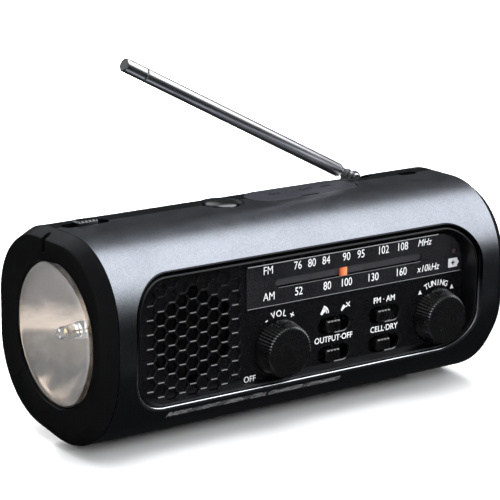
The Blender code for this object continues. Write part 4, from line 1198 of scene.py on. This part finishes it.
# ---- studio -------------------------------------------------------------
def studio():
    bm = bmesh.new()
    for x, y in ((-4000, -3000), (4000, -3000), (4000, 6000), (-4000, 6000)):
        bm.verts.new((x, y, 0))
    bm.faces.new(bm.verts)
    floor = mesh_object("floor", bm)
    pale = Shader("floor_pale", Base_Color=(0.92, 0.92, 0.92), Roughness=0.85)
    floor.data.materials.append(pale.finish())
    floor.visible_glossy = False
    world = bpy.data.worlds.new("studio")
    bpy.context.scene.world = world
    world.use_nodes = True
    sky(world.node_tree)
    lamp("key_fill", (-0.55, -1.5, 1.1), (0, 0, 0.04), 0.9, 17)
    lamp("top_fill", (0.1, 0.3, 1.7), (0, 0.2, 0), 2.2, 34)
    lamp("rear_fill", (0.35, 1.25, 0.16), (0, 0, 0.05), 0.5, 110)


def lamp(name, at, to, size, power):
    """A soft light for matt surfaces alone: reflections come from the sky's panels."""
    light = bpy.data.lights.new(name, "AREA")
    light.size = size
    light.energy = power
    made = bpy.data.objects.new(name, light)
    made.location = at
    made.rotation_euler = (Vector(to) - Vector(at)).to_track_quat("-Z", "Y").to_euler()
    made.visible_glossy = False
    made.visible_camera = False
    bpy.context.scene.collection.objects.link(made)


# Azimuth from the front towards the right, elevation, edges left, right, below and above, blur, strength.
PANELS = (
    (75, 50, -0.73, 0.41, -0.80, 1.1, 0.12, 2.52),
    (-95, 18, -0.9, 1.2, -0.7, 0.3, 0.35, 0.24),
    (190, 42, -0.5, 0.3, -0.35, 0.5, 0.15, 0.9),
)


def sky(tree):
    """White to the camera. Reflections see soft panels on a dim room that darkens downwards."""
    nodes, links = tree.nodes, tree.links
    nodes.clear()
    direction = nodes.new("ShaderNodeTexCoord").outputs["Generated"]

    def calc(operation, one, two):
        made = nodes.new("ShaderNodeMath")
        made.operation = operation
        for socket, value in zip(made.inputs, (one, two)):
            if isinstance(value, (int, float)):
                socket.default_value = value
            else:
                links.new(value, socket)
        return made.outputs["Value"]

    def along(axis):
        made = nodes.new("ShaderNodeVectorMath")
        made.operation = "DOT_PRODUCT"
        links.new(direction, made.inputs[0])
        made.inputs[1].default_value = axis
        return made.outputs["Value"]

    def smooth(value, low, high):
        made = nodes.new("ShaderNodeMapRange")
        made.interpolation_type = "SMOOTHSTEP"
        made.inputs["From Min"].default_value = low
        made.inputs["From Max"].default_value = high
        links.new(value, made.inputs["Value"])
        return made.outputs["Result"]

    total = smooth(along((0, 0, 1)), -0.5, 1.0)
    total = calc("ADD", calc("MULTIPLY", total, 0.05), 0.014)
    for azimuth, elevation, left, right, low, high, blur, strength in PANELS:
        a, e = math.radians(azimuth), math.radians(elevation)
        ahead = along((math.sin(a) * math.cos(e), -math.cos(a) * math.cos(e), math.sin(e)))
        across = calc("DIVIDE", along((math.cos(a), math.sin(a), 0)), calc("MAXIMUM", ahead, 0.05))
        up = along((-math.sin(a) * math.sin(e), math.cos(a) * math.sin(e), math.cos(e)))
        up = calc("DIVIDE", up, calc("MAXIMUM", ahead, 0.05))
        inside = smooth(across, left - blur, left + blur)
        inside = calc("MULTIPLY", inside, smooth(across, right + blur, right - blur))
        inside = calc("MULTIPLY", inside, smooth(up, low - blur, low + blur))
        inside = calc("MULTIPLY", inside, smooth(up, high + blur, high - blur))
        inside = calc("MULTIPLY", inside, smooth(ahead, 0.02, 0.12))
        total = calc("ADD", total, calc("MULTIPLY", inside, strength))
    room = nodes.new("ShaderNodeBackground")
    room.inputs["Color"].default_value = (0.975, 1.0, 1.025, 1)
    links.new(total, room.inputs["Strength"])
    white = nodes.new("ShaderNodeBackground")
    white.inputs["Color"].default_value = (1, 1, 1, 1)
    choose = nodes.new("ShaderNodeMixShader")
    links.new(nodes.new("ShaderNodeLightPath").outputs["Is Camera Ray"], choose.inputs["Fac"])
    links.new(room.outputs["Background"], choose.inputs[1])
    links.new(white.outputs["Background"], choose.inputs[2])
    links.new(choose.outputs["Shader"], nodes.new("ShaderNodeOutputWorld").inputs["Surface"])


def camera():
    at, to = Vector((-0.4980, -0.6854, 0.2806)), Vector((-0.00538, 0.0, 0.06257))
    lens = bpy.data.cameras.new("camera")
    lens.lens = 162.0
    lens.sensor_width = 36.0
    made = bpy.data.objects.new("camera", lens)
    turn = (to - at).to_track_quat("-Z", "Y").to_matrix().to_4x4()
    roll = Matrix.Rotation(math.radians(0.442), 4, "Z")
    made.matrix_world = Matrix.Translation(at) @ turn @ roll
    bpy.context.scene.collection.objects.link(made)
    bpy.context.scene.camera = made


def main():
    bpy.context.scene.view_settings.view_transform = "Standard"
    front_shell()
    rear_shell()
    end_caps()
    front_panel()
    dial()
    knobs()
    switches()
    print_panel()
    top_fittings()
    torch()
    battery_door()
    screws()
    crank()
    antenna()
    foot()
    carried_over()
    studio()
    camera()


main()
